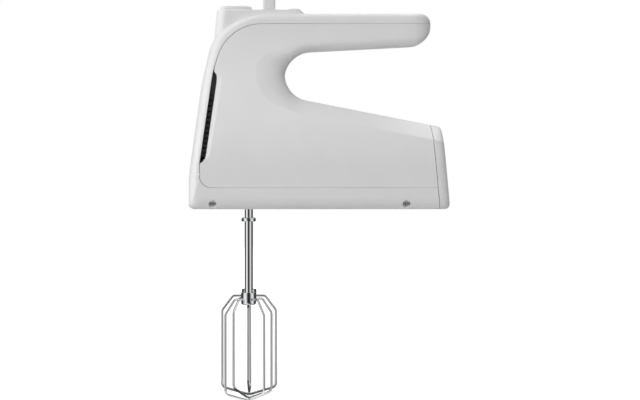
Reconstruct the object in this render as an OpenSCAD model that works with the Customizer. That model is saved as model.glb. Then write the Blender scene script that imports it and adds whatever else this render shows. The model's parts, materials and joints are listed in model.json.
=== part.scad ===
// Hand mixer with two wire beaters, an eject button, a speed slider and a turbo button.
// X runs from front to rear, Y across, Z up. The origin lies under the middle of the body,
// at the height of the beaters' lowest point. Inside the modules, x is measured from the
// body's front edge and z from its underside, and placed() moves the result to the origin.

/* [Body] */
// Length of the body, front to rear
body_l = 197; // [188:1:206]
// Width of the body at its widest
body_w = 86; // [86:1:92]
// Height of the lower body at its rear end
rear_h = 62; // [58:1:66]
// Wall thickness of all shells
wall = 2.2; // [1.8:0.1:2.6]
// Open seam between two neighbouring shells
seam = 0.3; // [0.2:0.05:0.5]
// Height of the seam between base and side shells
base_h = 16; // [14.5:0.5:18]
// Distance from the rear face to the rear cap's seam
cap_l = 8.5; // [8:0.5:12]
// Lean of the rear face, in degrees
rear_lean = 5.2; // [4:0.2:7]

/* [Handle] */
// Width of the handle
handle_w = 37; // [34:1:40]
// Depth of the handle at its rear end
handle_t = 23.2; // [21:0.2:25]
// Distance from the body's rear to the handle's rear end
handle_setback = 12.4; // [9:0.2:16]
// Distance from the handle's top to the seam between spine and side shells
handle_seam_drop = 8; // [7:0.5:9]

/* [Finger gap] */
// Distance from the front edge to the finger gap
gap_x = 72.6; // [71:0.2:75]
// Height of the finger gap at its front
gap_h = 34.3; // [33:0.1:36]
// Radius of the gap's front corners
gap_r = 20.5; // [17:0.5:21]

/* [Controls] */
// Height of the control head's top
head_h = 152; // [149:0.5:156]
// Rise of the control head above the handle's top
head_rise = 3; // [2.5:0.1:4]
// Width of the control head
head_w = 32; // [30:0.5:34]
// Travel of the eject button
eject_travel = 5; // [3:0.5:6]
// Travel of the turbo button
turbo_travel = 2; // [1:0.25:2.5]
// Travel of the speed slider from off to the highest speed
slider_travel = 15; // [10:0.5:16]
// Clearance round each control
control_gap = 0.35; // [0.3:0.05:0.6]

/* [Vent] */
// Widest opening of the vent slot
vent_w = 3.7; // [3:0.1:4.5]
// Number of slats in one vent
vent_slats = 20; // [12:1:24]

/* [Drive] */
// Height of the motor shaft
motor_h = 38; // [37:0.5:40]
// Distance from the front edge to the beater spindles
spindle_x = 45; // [43:0.5:47]
// Distance between the two spindles
spindle_spacing = 42; // [41.5:0.25:42.5]
// Gear module of worm and worm wheels
gear_module = 1.25; // [1.2:0.01:1.28]
// Teeth of each worm wheel
wheel_teeth = 25; // [24:1:26]
// Starts of the worm
worm_starts = 2; // [1:1:2]
// Length of the worm
worm_l = 24; // [18:1:26]
// Height of the worm wheels
wheel_t = 6; // [5:0.5:7]
// Outer diameter of the spindles
spindle_d = 9.6; // [9:0.1:10.5]
// Diameter of the motor shaft
rotor_d = 5; // [4:0.5:6]
// Radial running clearance of a shaft in its bearing
run_gap = 0.06; // [0.03:0.01:0.1]

/* [Motor] */
// Distance from the front edge to the stator's front face
stator_x = 98; // [96:1:102]
// Distance from the stator's rear face to the rear face of the body
motor_room = 67; // [65:1:70]
// Width across the stator
stator_w = 50; // [46:1:54]
// Diameter of the armature
armature_d = 27; // [25:1:29]
// Slots of the armature
armature_slots = 12; // [8:1:14]
// Diameter of the cooling fan
fan_d = 44; // [38:1:46]
// Blades of the cooling fan
fan_blades = 11; // [7:1:13]

/* [Beaters] */
// Diameter of a beater's shaft
shaft_d = 6; // [5.5:0.1:6.4]
// Reach of the beaters below the underside
beater_drop = 146.5; // [140:0.5:155]
// Radius of a beater's cage, to the middle of its wires
cage_r = 21; // [19:0.5:21.5]
// Thickness of the cage wires
wire_d = 1.8; // [1.5:0.1:2.2]
// Turn of the left beater's wires
left_turn = 34; // [20:1:50]
// Turn of the right beater's wires
right_turn = 2.5; // [0:0.5:12]

/* [Hidden] */
eps = 0.01;

// ---- Outline of the body, seen from its left side ----
handle_top = head_h - head_rise;
handle_seam_h = handle_top - handle_seam_drop;
handle_end_x = body_l - handle_setback;
half_body = body_w / 2;
rear_foot_r = 4;
half_handle = handle_w / 2;
rear_slope = tan(rear_lean);
gap_top = handle_top - handle_t - 5.8;
gap_low = gap_top - gap_h;
gap_centre = [gap_x + gap_r + 0.7, (gap_top + gap_low) / 2 - 3];

// Corners of the outline: x, z, radius, run clockwise from the lower front corner.
corners = [
    [0, 0, 2.5],
    [0, 25, 60],
    [9.2, handle_top - 54, 100],
    [17.8, handle_top - 15, 34],
    [46, handle_top, 60],
    [handle_end_x, handle_top, handle_top - handle_seam_h],
    [handle_end_x, handle_top - handle_t, handle_seam_h - handle_top + handle_t],
    [gap_x, gap_top, gap_r + 0.5],
    [gap_x, gap_low, gap_r],
    [body_l - rear_slope * rear_h, rear_h, 3.5],
    [body_l, 0, rear_foot_r]];

function unit(v) = v / norm(v);
function cross2(a, b) = a.x * b.y - a.y * b.x;

// Corner c between p and n, rounded by a true arc.
function corner_arc(p, c, n, r, steps) =
    let (a = unit(p - c), b = unit(n - c), half = acos(a * b) / 2, t = r / tan(half),
         w = sin(half), p0 = c + a * t, p2 = c + b * t)
    [for (i = [0 : steps])
        let (k = i / steps, f0 = (1 - k) * (1 - k), f1 = 2 * w * k * (1 - k), f2 = k * k)
        (p0 * f0 + c * f1 + p2 * f2) / (f0 + f1 + f2)];

// The outline moved inwards by t, as its corners.
function inset_corner(p, c, n, r, t) =
    let (a = unit(p - c), b = unit(n - c), half = acos(a * b) / 2,
         convex = cross2(c - p, n - c) < 0, side = convex ? 1 : -1,
         m = c + unit(a + b) * side * t / sin(half))
    [m.x, m.y, convex ? max(r - t, 0.3) : r + t];
function xz(c) = [c.x, c.y];
function inset(t) = let (n = len(corners))
    [for (i = [0 : n - 1])
        inset_corner(xz(corners[(i + n - 1) % n]), xz(corners[i]), xz(corners[(i + 1) % n]),
            corners[i][2], t)];
function outline(t) = let (c = inset(t), n = len(c))
    [for (i = [0 : n - 1])
        each corner_arc(xz(c[(i + n - 1) % n]), xz(c[i]), xz(c[(i + 1) % n]), c[i][2], 8)];

// Distance from o along d to the nearest edge of a closed outline.
function hit(o, d, line) = let (n = len(line))
    min([for (i = [0 : n - 1])
        let (p = line[i], e = line[(i + 1) % n] - p, den = cross2(d, e))
        if (abs(den) > 1e-9)
            let (t = cross2(p - o, e) / den, s = cross2(p - o, d) / den)
            if (s >= -1e-6 && s <= 1 + 1e-6 && t > 1e-4) t]);

// ---- Skin of the body ----
// The seam line runs from the handle's rear end over the head, down beside the vent, round
// the base's front corner and along the base. Each station is a point on it, with the
// lines that lead from there out to the outline and in to the finger gap.
vent_top = [17.9, handle_top - 44.5];
vent_foot = [8.3, 34];
strip_seam_h = 26.3;
base_corner_r = 9;
end_r = handle_seam_h - handle_top + handle_t;
rear_seam_x = body_l - cap_l - rear_slope * base_h;

seam_a = [handle_end_x, handle_seam_h];
seam_b = [29.3, handle_seam_h];
seam_c = vent_top;
seam_d = vent_foot;
seam_e = [vent_foot.x, base_h];
seam_f = [rear_seam_x, base_h];

function between(a, b, n) = [for (i = [1 : n - 1]) a + (b - a) * i / n];
function last(v) = v[len(v) - 1];
function tagged(points, u0, u1) = let (n = len(points))
    [for (i = [0 : n - 1]) [points[i].x, points[i].y, u0 + (u1 - u0) * i / max(n - 1, 1)]];

arc_b = corner_arc(seam_a, seam_b, seam_c, 40, 8);
arc_c = corner_arc(seam_b, seam_c, seam_d, 60, 1);
arc_e = corner_arc(seam_d, seam_e, seam_f, base_corner_r, 5);
strip_a = [vent_foot.x, strip_seam_h];
strip_b = [vent_foot.x, strip_seam_h - seam];

// The handle's end, with the skin moved inwards by t.
end_angles = [84, 68, 50, 30, 12];
function handle_end(t) = [for (a = end_angles)
    [handle_end_x - t - (end_r - t) * (1 - sin(a)), handle_seam_h]];
function stations(t) = concat(
    tagged(handle_end(t), 0, 0.3),
    tagged(between([handle_end_x - end_r, handle_seam_h], arc_b[0], 4), 0.4, 1),
    tagged(arc_b, 1, 1.9),
    tagged(arc_c, 2.02, 2.04),
    tagged(between(last(arc_c), seam_d, 8), 2.1, 2.9),
    tagged([seam_d, strip_a, strip_b], 3, 3.2),
    tagged(arc_e, 3.3, 4),
    tagged(between(last(arc_e), [gap_centre.x, base_h], 7), 4.1, 4.9),
    tagged(between([gap_centre.x, base_h], seam_f, 4), 5, 5.9),
    [[seam_f.x, seam_f.y, 6]]);
strip_i = len(end_angles) + 3 + 9 + 2 + 7 + 1;
last_i = len(stations(0)) - 1;

// Half the body's width at height z: full at the gears, slender at the handle.
belly_h = 30;
shoulder_h = handle_seam_h - 1;
function smooth(k) = let (c = min(max(k, 0), 1)) c * c * (3 - 2 * c);
function half_width(z) = half_body
    - (half_body - half_handle) * smooth((z - belly_h) / (shoulder_h - belly_h));

// Rounding of the skin towards an edge: 1 at the edge, 0 inside it.
function curl(k) = k >= 1 ? 0 : 1 - sqrt(1 - (1 - max(k, 0)) * (1 - max(k, 0)));
// Reach and depth of that rounding at the outline and at the gap, along the seam line.
function out_reach(u) = lookup(u, [[0, 7.4], [1, 7.4], [2, 8.2], [3, 8], [4, 9], [6, 9]]);
function out_depth(u) = lookup(u, [[0, 9], [1, 9], [2, 11], [3, 15], [3.6, 10], [4, 5], [6, 5]]);
function in_reach(u) = lookup(u, [[0, 8], [1, 9], [1.6, 20], [3, 23], [4, 20], [5, 11.5], [6, 11.5]]);
function in_depth(u) = lookup(u, [[0, 8], [1, 9], [1.6, 13], [3, 17], [4, 17], [5, 16], [6, 16]]);
// Share of that rounding that is a straight bevel, which meets the flank in a crease.
function in_bevel(u) = lookup(u, [[0, 0], [2, 0], [3, 0.3], [4, 0.5], [5, 0.6], [6, 0.6]]);
function in_curl(u, k) = in_bevel(u) * (1 - min(max(k, 0), 1)) + (1 - in_bevel(u)) * curl(k);
function end_factor(x, z, t) = z > gap_centre.y
    ? 1 - 0.7 * curl((handle_end_x - t - x) / (end_r - t))
    : 1 - 0.24 * curl((body_l - t - rear_slope * z - x) / (cap_l - t));

// Opening of the vent slot beside the seam line, at height z.
function slot(z) = let (k = (z - vent_foot.y) / (vent_top.y - vent_foot.y))
    k <= 0 || k >= 1 ? 0 : vent_w * pow(1 - pow(abs(2 * k - 1), 4), 0.6);

// A station's frame on the skin at inset t: seam point, far edge of the slot, outline, gap.
function outward(s, i) = let (a = s[max(i - 1, 0)], b = s[min(i + 1, len(s) - 1)],
    d = unit([b.x - a.x, b.y - a.y])) [d.y, -d.x];
function lean_up(x) = let (f = (x - gap_centre.x) / (rear_seam_x - gap_centre.x))
    unit([-rear_slope * max(f, 0), 1]);
function frame_at(s, i, line) =
    let (p = [s[i].x, s[i].y], u = s[i][2], up = lean_up(p.x),
         out = u < 1 ? [0, 1] : u > 4 ? -up : outward(s, i),
         near = p - out * (seam + (u > 2 && u < 3 ? slot(p.y) : 0)),
         in = u < 1 || (u < 2 && p.x > gap_centre.x) ? [0, -1]
            : p.x > gap_centre.x ? up : unit(gap_centre - near))
    [p, near, p + out * hit(p, out, line), near + in * hit(near, in, line), u];

// Half width of the skin at inset t, do from the outline and di from the gap.
function skin_y(p, u, do, di, t) = (half_width(p.y) - t) * end_factor(p.x, p.y, t)
    * (1 - out_depth(u) / half_width(p.y) * curl(do / max(out_reach(u) - t, 1)))
    * (1 - in_depth(u) / half_width(p.y) * in_curl(u, di / max(in_reach(u) - t, 1)));

round_angles = [0, 24, 46, 68, 90];

// One half of the band between seam line and outline, from the middle outwards.
function outer_half(f, t) =
    let (s = f[0], o = f[2], u = f[4], l = norm(s - o), r = min(out_reach(u) - t, l * 0.92),
         far = norm(f[3] - f[1]),
         ds = concat([for (a = round_angles) r * (1 - cos(a))], [l]))
    [for (k = [-1 : len(ds) - 1])
        let (d = k < 0 ? 0 : ds[k], p = o + (s - o) * d / l,
             y = skin_y(p, u, d * (out_reach(u) - t) / r, far + l - d, t))
        [p.x, k < 0 ? 0 : y, p.y]];

// One half of the band between seam line and gap, from the seam line inwards.
chamfer_w = 4;
chamfer_t = 1.3;
function inner_half(f, t) =
    let (s = f[1], e = f[3], u = f[4], l = norm(e - s), r = min(in_reach(u) - t, l * 0.6),
         flat = l - r, c = min(chamfer_w, flat / 4), back = norm(f[2] - f[0]),
         dip = chamfer_t * (1 - t / wall) * (u > 2 && u < 3 ? slot(s.y) / vent_w : 0),
         ds = concat([0, c, c + (flat - c) / 3, c + (flat - c) * 2 / 3],
             [for (k = [len(round_angles) - 1 : -1 : 0]) l - r * (1 - cos(round_angles[k]))]))
    [for (k = [0 : len(ds)])
        let (d = k < len(ds) ? ds[k] : l, p = s + (e - s) * d / l,
             y = skin_y(p, u, back + d, (l - d) * (in_reach(u) - t) / r, t) - (k == 0 ? dip : 0))
        [p.x, k < len(ds) ? y : seam / 2, p.y]];

function mirrored(v) = [v.x, -v.y, v.z];
function whole(half) = let (n = len(half))
    [for (k = [-(n - 1) : n - 1]) k < 0 ? mirrored(half[-k]) : half[k]];

// Rows of points on the skin at inset t, for the stations from i0 to i1.
function frames(t, i0, i1) = let (s = stations(t), line = outline(t))
    [for (i = [i0 : i1]) frame_at(s, i, line)];
function end_row(t, n, y1) = let (y0 = (half_handle - t) * 0.3)
    [for (k = [0 : n - 1]) [handle_end_x - t, y0 + (y1 - y0) * k / (n - 1), handle_seam_h]];
function outer_rows(t, i0, i1) =
    let (rows = [for (f = frames(t, i0, i1)) whole(outer_half(f, t))], n = len(rows[0]))
    i0 > 0 ? rows : concat([[for (p = end_row(t, n, -(half_handle - t) * 0.3)) mirrored(p)]], rows);
function inner_rows(t) =
    let (rows = [for (f = frames(t, 0, last_i)) inner_half(f, t)], n = len(rows[0]))
    concat([[for (p = end_row(t, n, seam / 2)) p - [0, 0, seam]]], rows);

// A closed shell between two sheets of points of the same size.
function flat_list(rows) = [for (r = rows) each r];
function quad(a, b, c, d) = [[a, b, c], [a, c, d]];
function sheet_faces(n, m, at, turn) = [for (i = [0 : n - 2]) for (j = [0 : m - 2])
    let (a = at + i * m + j, b = a + 1, c = b + m, d = a + m, first = j < (m - 1) / 2)
    each (turn ? (first ? quad(a, b, c, d) : quad(b, c, d, a))
               : (first ? quad(c, b, a, d) : quad(d, c, b, a)))];
module sheet_shell(outside, inside) {
    n = len(outside);
    m = len(outside[0]);
    k = n * m;
    rims = [
        for (i = [0 : n - 2]) each quad(k + i * m, k + (i + 1) * m, (i + 1) * m, i * m),
        for (i = [0 : n - 2]) let (a = (i + 1) * m - 1, b = a + m)
            each quad(k + b, k + a, a, b),
        for (j = [0 : m - 2]) each quad(k + j + 1, k + j, j, j + 1),
        for (j = [0 : m - 2]) let (a = (n - 1) * m + j) each quad(k + a, k + a + 1, a + 1, a)];
    polyhedron(concat(flat_list(outside), flat_list(inside)),
        concat(sheet_faces(n, m, 0, false), sheet_faces(n, m, k, true), rims));
}

true_l = body_l - rear_foot_r * (tan(rear_lean) + 1 / cos(rear_lean) - 1);
module placed() translate([-true_l / 2, 0, beater_drop]) children();
module paired() {
    children();
    mirror([0, 1, 0]) children();
}

// A cup closed at its rear: rings of points outside and inside.
module ring_cup(outside, inside) {
    n = len(outside);
    m = len(outside[0]);
    k = n * m;
    sides = [for (i = [0 : n - 2]) for (j = [0 : m - 1])
        let (a = i * m + j, b = i * m + (j + 1) % m, c = b + m, d = a + m)
        each concat(quad(a, b, c, d), quad(k + d, k + c, k + b, k + a))];
    mouth = [for (j = [0 : m - 1]) let (b = (j + 1) % m) each quad(k + j, k + b, b, j)];
    ends = [for (j = [1 : m - 2])
        let (a = (n - 1) * m)
        each [[a, a + j, a + j + 1], [k + a, k + a + j + 1, k + a + j]]];
    polyhedron(concat(flat_list(outside), flat_list(inside)), concat(sides, mouth, ends));
}

// ---- Rear cap ----
cap_angles = [0, 22, 44, 62, 76, 86];
function cap_ring(a, t) =
    let (up = lean_up(rear_seam_x), shift = a == 0 ? seam : 0,
         p = [body_l - rear_slope * base_h - t - (cap_l - t) * (1 - sin(a)) + shift, base_h],
         line = outline(t),
         f = [p, p, p - up * hit(p, -up, line), p + up * hit(p, up, line), 6],
         under = outer_half(f, t), over = inner_half(f, t),
         half = concat(under, [for (k = [1 : len(over) - 1]) over[k]]), n = len(half))
    concat(half, [for (k = [n - 1 : -1 : 1]) mirrored(half[k])]);

// ---- Vent ----
lap = 2.2;
vent_t = 1.4;
function vent_rows(t) = [for (f = frames(t, 0, last_i)) if (f[4] > 2.03 && f[4] < 2.95)
    let (to_gap = unit(f[3] - f[1]), p0 = f[0] + unit(f[2] - f[0]) * lap, p1 = f[1] + to_gap * lap)
    [for (k = [0 : 3]) let (p = p0 + (p1 - p0) * k / 3)
        [p.x, skin_y(p, f[4], norm(p - f[2]), norm(f[3] - p), t), p.y]]];
module vent_slots() {
    pitch = (vent_top.y - vent_foot.y - 10) / vent_slats;
    for (k = [0 : vent_slats - 1]) {
        z = vent_foot.y + 6 + pitch * (k + 0.5);
        x = vent_foot.x + (vent_top.x - vent_foot.x) * (z - vent_foot.y) / (vent_top.y - vent_foot.y);
        translate([x + 0.4, 0, z - pitch * 0.27])
            cube([slot(z) - 0.4, half_body + 1, pitch * 0.54]);
    }
}
module vent_grille() difference() {
    sheet_shell(vent_rows(wall + 0.15), vent_rows(wall + 0.15 + vent_t));
    vent_slots();
}

// ---- Control head ----
head_front = 18.4;
head_lean = 0.09;
head_foot = handle_top - 21.5;
head_rear = 79;
head_slope_x = 86;
head_r = 8;
module side_prism(points, w) translate([0, w / 2, 0]) rotate([90, 0, 0])
    linear_extrude(w) polygon(points);
function arc(c, r, a0, a1, n) = [for (i = [0 : n]) let (a = a0 + (a1 - a0) * i / n)
    c + r * [cos(a), sin(a)]];
module head_plan(x0, w, r, x1) polygon(concat([[x1, w / 2]],
    arc([x0 + r, w / 2 - r], r, 90, 180, 6), arc([x0 + r, r - w / 2], r, 180, 270, 6),
    [[x1, -w / 2]]));
module head_form(t) intersection() {
    hull() for (z = [head_foot - 50, head_h + 2]) translate([0, 0, z]) linear_extrude(eps)
        head_plan(head_front + head_lean * (z - head_foot) + t, head_w - 2 * t, head_r - t,
            head_slope_x + 2);
    side_prism([[head_front - 5, head_foot - 1 - 20 * t], [head_front - 5, head_h - t],
        [head_rear - t, head_h - t], [head_slope_x - t, handle_top - 0.3 - t],
        [head_slope_x - t, handle_top - 3.2 - 8 * t], [46, handle_top - 5.8 - 8 * t],
        [30, handle_top - 15.5 - 8 * t], [22, head_foot - 1 - 20 * t]], head_w + 2);
}

// Openings and plungers of the controls share these plans.
eject_x0 = 22.9;
eject_x1 = 47.2;
eject_w = 21;
eject_top = head_h + 3.4;
eject_front_r = 5.5;
eject_rod_x = 40;
module eject_plan(grow) {
    r = eject_front_r + grow;
    x = eject_x0 + eject_front_r;
    y = eject_w / 2 - eject_front_r;
    polygon(concat(arc([x, y], r, 90, 180, 6), arc([x, -y], r, 180, 270, 6),
        arc([eject_x1 - eject_w / 2, 0], eject_w / 2 + grow, -90, 90, 16)));
}
slider_x = 60.6;
slider_l = 9.5;
slider_w = 11;
slider_top = head_h + 8.4;
slider_y = -slider_travel / 2;
stem_l = 4;
stem_w = 5;
turbo_x0 = 73;
turbo_x1 = 87.6;
turbo_w = 16;
turbo_top = head_h + 1.3;
turbo_r = 5;
module turbo_plan(grow) {
    r = turbo_r + grow;
    x0 = turbo_x0 + turbo_r;
    x1 = turbo_x1 - turbo_r;
    y = turbo_w / 2 - turbo_r;
    polygon(concat(arc([x1, y], r, 0, 90, 6), arc([x0, y], r, 90, 180, 6),
        arc([x0, -y], r, 180, 270, 6), arc([x1, -y], r, 270, 360, 6)));
}
module control_openings() {
    translate([0, 0, head_foot]) linear_extrude(2 * (head_h - head_foot)) {
        eject_plan(control_gap);
        turbo_plan(control_gap);
        translate([slider_x - stem_l / 2 - control_gap, -(slider_travel + stem_w) / 2 - control_gap])
            square([stem_l + 2 * control_gap, slider_travel + stem_w + 2 * control_gap]);
    }
}

// ---- Base ----
socket_d = 12.8;
screw_x = [18.1, body_l - 33.5];
screw_head_d = 5.4;
screw_d = 3;
well_d = 6;
well_l = 3.5;
boss_l = 8;
module screw_line(x) translate([x, half_body - 1.1, 3.4]) rotate([45, 0, 0]) children();
module screw_lines() for (x = screw_x) paired() screw_line(x) children();
module at_spindles() for (s = [-1, 1]) translate([spindle_x, s * spindle_spacing / 2, 0]) children();
stator_l = body_l - motor_room - stator_x;
bracket_x = stator_x + stator_l + 27;
bracket_foot_l = 7;
floor_slot_size = [3, 26];
floor_slot_pitch = 7;
floor_slot_x = stator_x + 6;
floor_slots = floor((bracket_x + 4 - bracket_foot_l - floor_slot_x) / floor_slot_pitch);
clamp_x = body_l - 23;
clamp_pitch = 22;
cord_h = 30;
clamp_boss_d = 7;

// ---- Housing ----
module side_skin() sheet_shell(inner_rows(0), inner_rows(wall));
module left_shell() color("whitesmoke") placed() mirror([0, 1, 0]) side_skin();
module right_shell() color("whitesmoke") placed() side_skin();
module spine_cover() color("white") placed() difference() {
    union() {
        sheet_shell(outer_rows(0, 0, strip_i), outer_rows(wall, 0, strip_i));
        head_form(0);
    }
    head_form(wall);
    control_openings();
}
module base_shell() color("gainsboro") placed() difference() {
    union() {
        sheet_shell(outer_rows(0, strip_i + 1, last_i), outer_rows(wall, strip_i + 1, last_i));
        at_spindles() translate([0, 0, 1]) cylinder(h = 4, d = socket_d + 4, $fn = 48);
        for (s = [-1, 1]) translate([clamp_x, s * clamp_pitch / 2, wall - 0.5])
            cylinder(h = cord_h - 4 - wall + 0.5, d = clamp_boss_d, $fn = 32);
        intersection() {
            screw_lines() translate([0, 0, 2]) cylinder(h = boss_l - 2, d = well_d + 3, $fn = 32);
            translate([0, 0.6 - half_body, 0.6]) cube([body_l, body_w - 1.2, base_h]);
        }
    }
    at_spindles() translate([0, 0, -1]) cylinder(h = 8, d = socket_d, $fn = 48);
    for (k = [0 : floor_slots - 1])
        translate([floor_slot_x + floor_slot_pitch * k, -floor_slot_size.y / 2, -1])
            cube([floor_slot_size.x, floor_slot_size.y, wall + 2]);
    screw_lines() {
        translate([0, 0, -8]) cylinder(h = 8 + well_l, d = well_d, $fn = 32);
        cylinder(h = 20, d = screw_d, $fn = 24);
    }
}
module rear_cap() color("silver") placed() difference() {
    ring_cup([for (a = cap_angles) cap_ring(a, 0)], [for (a = cap_angles) cap_ring(a, wall)]);
    translate([body_l - 15, 0, cord_h]) rotate([0, 90, 0]) cylinder(h = 20, d = 14, $fn = 48);
}

module vent_grille_left() color("dimgray") placed() mirror([0, 1, 0]) vent_grille();
module vent_grille_right() color("dimgray") placed() vent_grille();
module base_screws() color("silver") placed() screw_lines() {
    translate([0, 0, well_l - 2.2]) cylinder(h = 2.2, d = screw_head_d, $fn = 32);
    translate([0, 0, well_l - eps]) cylinder(h = boss_l - well_l, d = screw_d - 0.1, $fn = 24);
}

// ---- Controls ----
module control() placed() children();
skirt_t = 1.6;
eject_skirt_h = 11;
rod_d = 6;
rod_foot = 68;
rod_socket_h = 8;
module eject_button() color("white") placed() difference() {
    union() {
        difference() {
            translate([0, 0, eject_top - eject_skirt_h]) linear_extrude(eject_skirt_h) eject_plan(0);
            translate([0, 0, eject_top - eject_skirt_h - 1]) linear_extrude(eject_skirt_h - 1)
                eject_plan(-skirt_t);
        }
        translate([eject_rod_x, 0, eject_top - rod_socket_h - 1])
            cylinder(h = rod_socket_h, d = rod_d + 4, $fn = 32);
    }
    translate([eject_rod_x, 0, eject_top - rod_socket_h - 2]) cylinder(h = rod_socket_h, d = rod_d, $fn = 32);
}
guide_z = handle_top - 41;
collar_z = guide_z + 20;
guide_t = 5;
guide_l = 15;
spring_d = 10;
spring_wire = 1;
module eject_rod() color("lightgray") placed() translate([eject_rod_x, 0, 0]) {
    translate([0, 0, rod_foot]) cylinder(h = eject_top - 2 - rod_foot, d = rod_d, $fn = 32);
    translate([0, 0, collar_z]) cylinder(h = 2, d = spring_d + 2, $fn = 32);
}
plate_t = 3;
pin_d = 5.2;
pin_gap = 0.3;
module eject_plate() color("lightgray") placed() difference() {
    union() {
        translate([eject_rod_x - 5, -spindle_spacing / 2 - 4, rod_foot])
            cube([spindle_x - eject_rod_x + 9, spindle_spacing + 8, plate_t]);
        translate([eject_rod_x, 0, rod_foot]) cylinder(h = plate_t + 4, d = rod_d + 4, $fn = 32);
        at_spindles() translate([0, 0, shaft_top + pin_gap])
            cylinder(h = rod_foot + 1 - shaft_top - pin_gap, d = pin_d, $fn = 32);
    }
    translate([eject_rod_x, 0, rod_foot - 1]) cylinder(h = 20, d = rod_d, $fn = 32);
}

// A closed tube of m sides along points, with its section kept square to the path.
function sides_at(points, i) = let (n = len(points),
    d = unit(points[min(i + 1, n - 1)] - points[max(i - 1, 0)]),
    a = unit(cross(d, abs(d.z) < 0.9 ? [0, 0, 1] : [1, 0, 0])), b = cross(d, a)) [a, b];
module tube(points, r, m) {
    n = len(points);
    verts = [for (i = [0 : n - 1]) let (f = sides_at(points, i)) for (j = [0 : m - 1])
        points[i] + (f[0] * cos(360 * j / m) + f[1] * sin(360 * j / m)) * r];
    walls = [for (i = [0 : n - 2]) for (j = [0 : m - 1])
        let (a = i * m + j, b = i * m + (j + 1) % m)
        each quad(a, b, b + m, a + m)];
    ends = [for (j = [1 : m - 2]) each [[0, j + 1, j], [(n - 1) * m, (n - 1) * m + j, (n - 1) * m + j + 1]]];
    polyhedron(verts, concat(walls, ends));
}
module coil_spring(d, wire, h, turns) let (steps = turns * 12)
    tube([for (i = [0 : steps]) let (a = 30 * i)
        [(d - wire) / 2 * cos(a), (d - wire) / 2 * sin(a), wire / 2 + (h - wire) * i / steps]],
        wire / 2, 6);
module eject_spring() color("silver") placed()
    translate([eject_rod_x, 0, guide_z + guide_t]) coil_spring(spring_d, spring_wire, collar_z - guide_z - guide_t, 5);
module rod_guide() color("ivory") placed() difference() {
    half = half_width(guide_z + guide_t) - wall - 0.3;
    translate([eject_rod_x - guide_l / 2, -half, guide_z]) cube([guide_l, 2 * half, guide_t]);
    translate([eject_rod_x, 0, guide_z - 1]) cylinder(h = guide_t + 2, r = rod_d / 2 + run_gap, $fn = 32);
    for (s = [-1, 1]) translate([eject_rod_x, s * half * 0.62, guide_z - 1])
        cylinder(h = guide_t + 2, d = 5, $fn = 32);
}

carriage_z = head_h - 5.7;
carriage_w = 9;
switch_z = head_h - 20;
switch_h = 10.5;
switch_l = 14;
switch_w = 26;
board_z = switch_z - 1.6;
board_t = 1.6;
module speed_slider() color("white") placed() translate([slider_x, slider_y, 0]) {
    slider_form();
    translate([-stem_l / 2, -stem_w / 2, head_h - wall - 1]) cube([stem_l, stem_w, wall + 2]);
    translate([-carriage_w / 2, -carriage_w / 2, carriage_z])
        cube([carriage_w, carriage_w, head_h - wall - control_gap - carriage_z]);
}
module slider_form() {
    z0 = head_h + control_gap;
    translate([0, 0, z0]) linear_extrude(slider_top - z0) difference() {
        square([slider_l, slider_w], center = true);
        for (a = [0 : 90 : 270]) rotate(a) translate([(a % 180 == 0 ? slider_l : slider_w) / 2,
            (a % 180 == 0 ? slider_w : slider_l) / 2]) corner_cut(1.5);
    }
}
module corner_cut(r) difference() {
    translate([-r, -r]) square([2 * r, 2 * r]);
    translate([-r, -r]) circle(r, $fn = 24);
}
module slider_contact() color("goldenrod") placed() translate([slider_x, slider_y, 0]) {
    translate([-3, -3, carriage_z - 0.6]) cube([6, 6, 0.6]);
    for (s = [-1, 1]) translate([s * 2 - 0.5, -2.5, switch_z + switch_h - 1.2])
        cube([1, 5, carriage_z - switch_z - switch_h + 1]);
}
module speed_switch() color("dimgray") placed() difference() {
    translate([slider_x - switch_l / 2, -switch_w / 2, switch_z]) cube([switch_l, switch_w, switch_h]);
    for (s = [-1, 1]) translate([slider_x + s * 2 - 1, -switch_w / 2 + 1.5, switch_z + switch_h - 2.2])
        cube([2, switch_w - 3, 3]);
}
turbo_x = (turbo_x0 + turbo_x1) / 2;
// Domed top of the turbo button with a slanted rear end, seen from the side.
turbo_side = [[turbo_x0 - 1, -0.9], [turbo_x0 + 4, -0.2], [turbo_x0 + 8, 0], [turbo_x1 - 4.2, -0.2],
    [turbo_x1 - 3.4, -0.6], [turbo_x1 + 1, -4.4]];
turbo_skirt_h = 7;
turbo_roof = 3.2;
turbo_switch_h = 8.4;
plunger_d = 4;
module turbo_button() color("white") placed() {
        difference() {
            intersection() {
                translate([0, 0, turbo_top - turbo_skirt_h]) linear_extrude(turbo_skirt_h) turbo_plan(0);
                side_prism(concat([for (p = turbo_side) [p.x, p.y + turbo_top]],
                    [[turbo_x1 + 1, turbo_top - 9], [turbo_x0 - 1, turbo_top - 9]]), turbo_w + 2);
            }
            translate([0, 0, turbo_top - turbo_skirt_h - 1])
                linear_extrude(turbo_skirt_h + 1 - turbo_roof) turbo_plan(-skirt_t);
        }
        translate([turbo_x, 0, switch_z + turbo_switch_h + turbo_travel + 0.3])
            cylinder(h = turbo_top - switch_z - turbo_switch_h - turbo_travel - 1, d = plunger_d, $fn = 32);
}
module turbo_spring() color("silver") placed() translate([turbo_x, 0, switch_z + turbo_switch_h])
    coil_spring(plunger_d + 3.4, 0.8, turbo_top - turbo_roof - switch_z - turbo_switch_h, 4);
module turbo_switch() color("black") placed()
    translate([turbo_x - 6, -5, switch_z]) cube([12, 10, turbo_switch_h]);
board_x0 = 51;
board_x1 = 92;
module circuit_board() color("seagreen") placed() {
    half = half_handle - wall - 0.6;
    translate([board_x0, -half, board_z]) cube([board_x1 - board_x0, 2 * half, board_t]);
    for (y = [-11, -7, 7, 11]) translate([89, y, board_z + board_t])
        cylinder(h = 5, d = 2.6, $fn = 24);
}
cap_size = [15, 8, 13];
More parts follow.
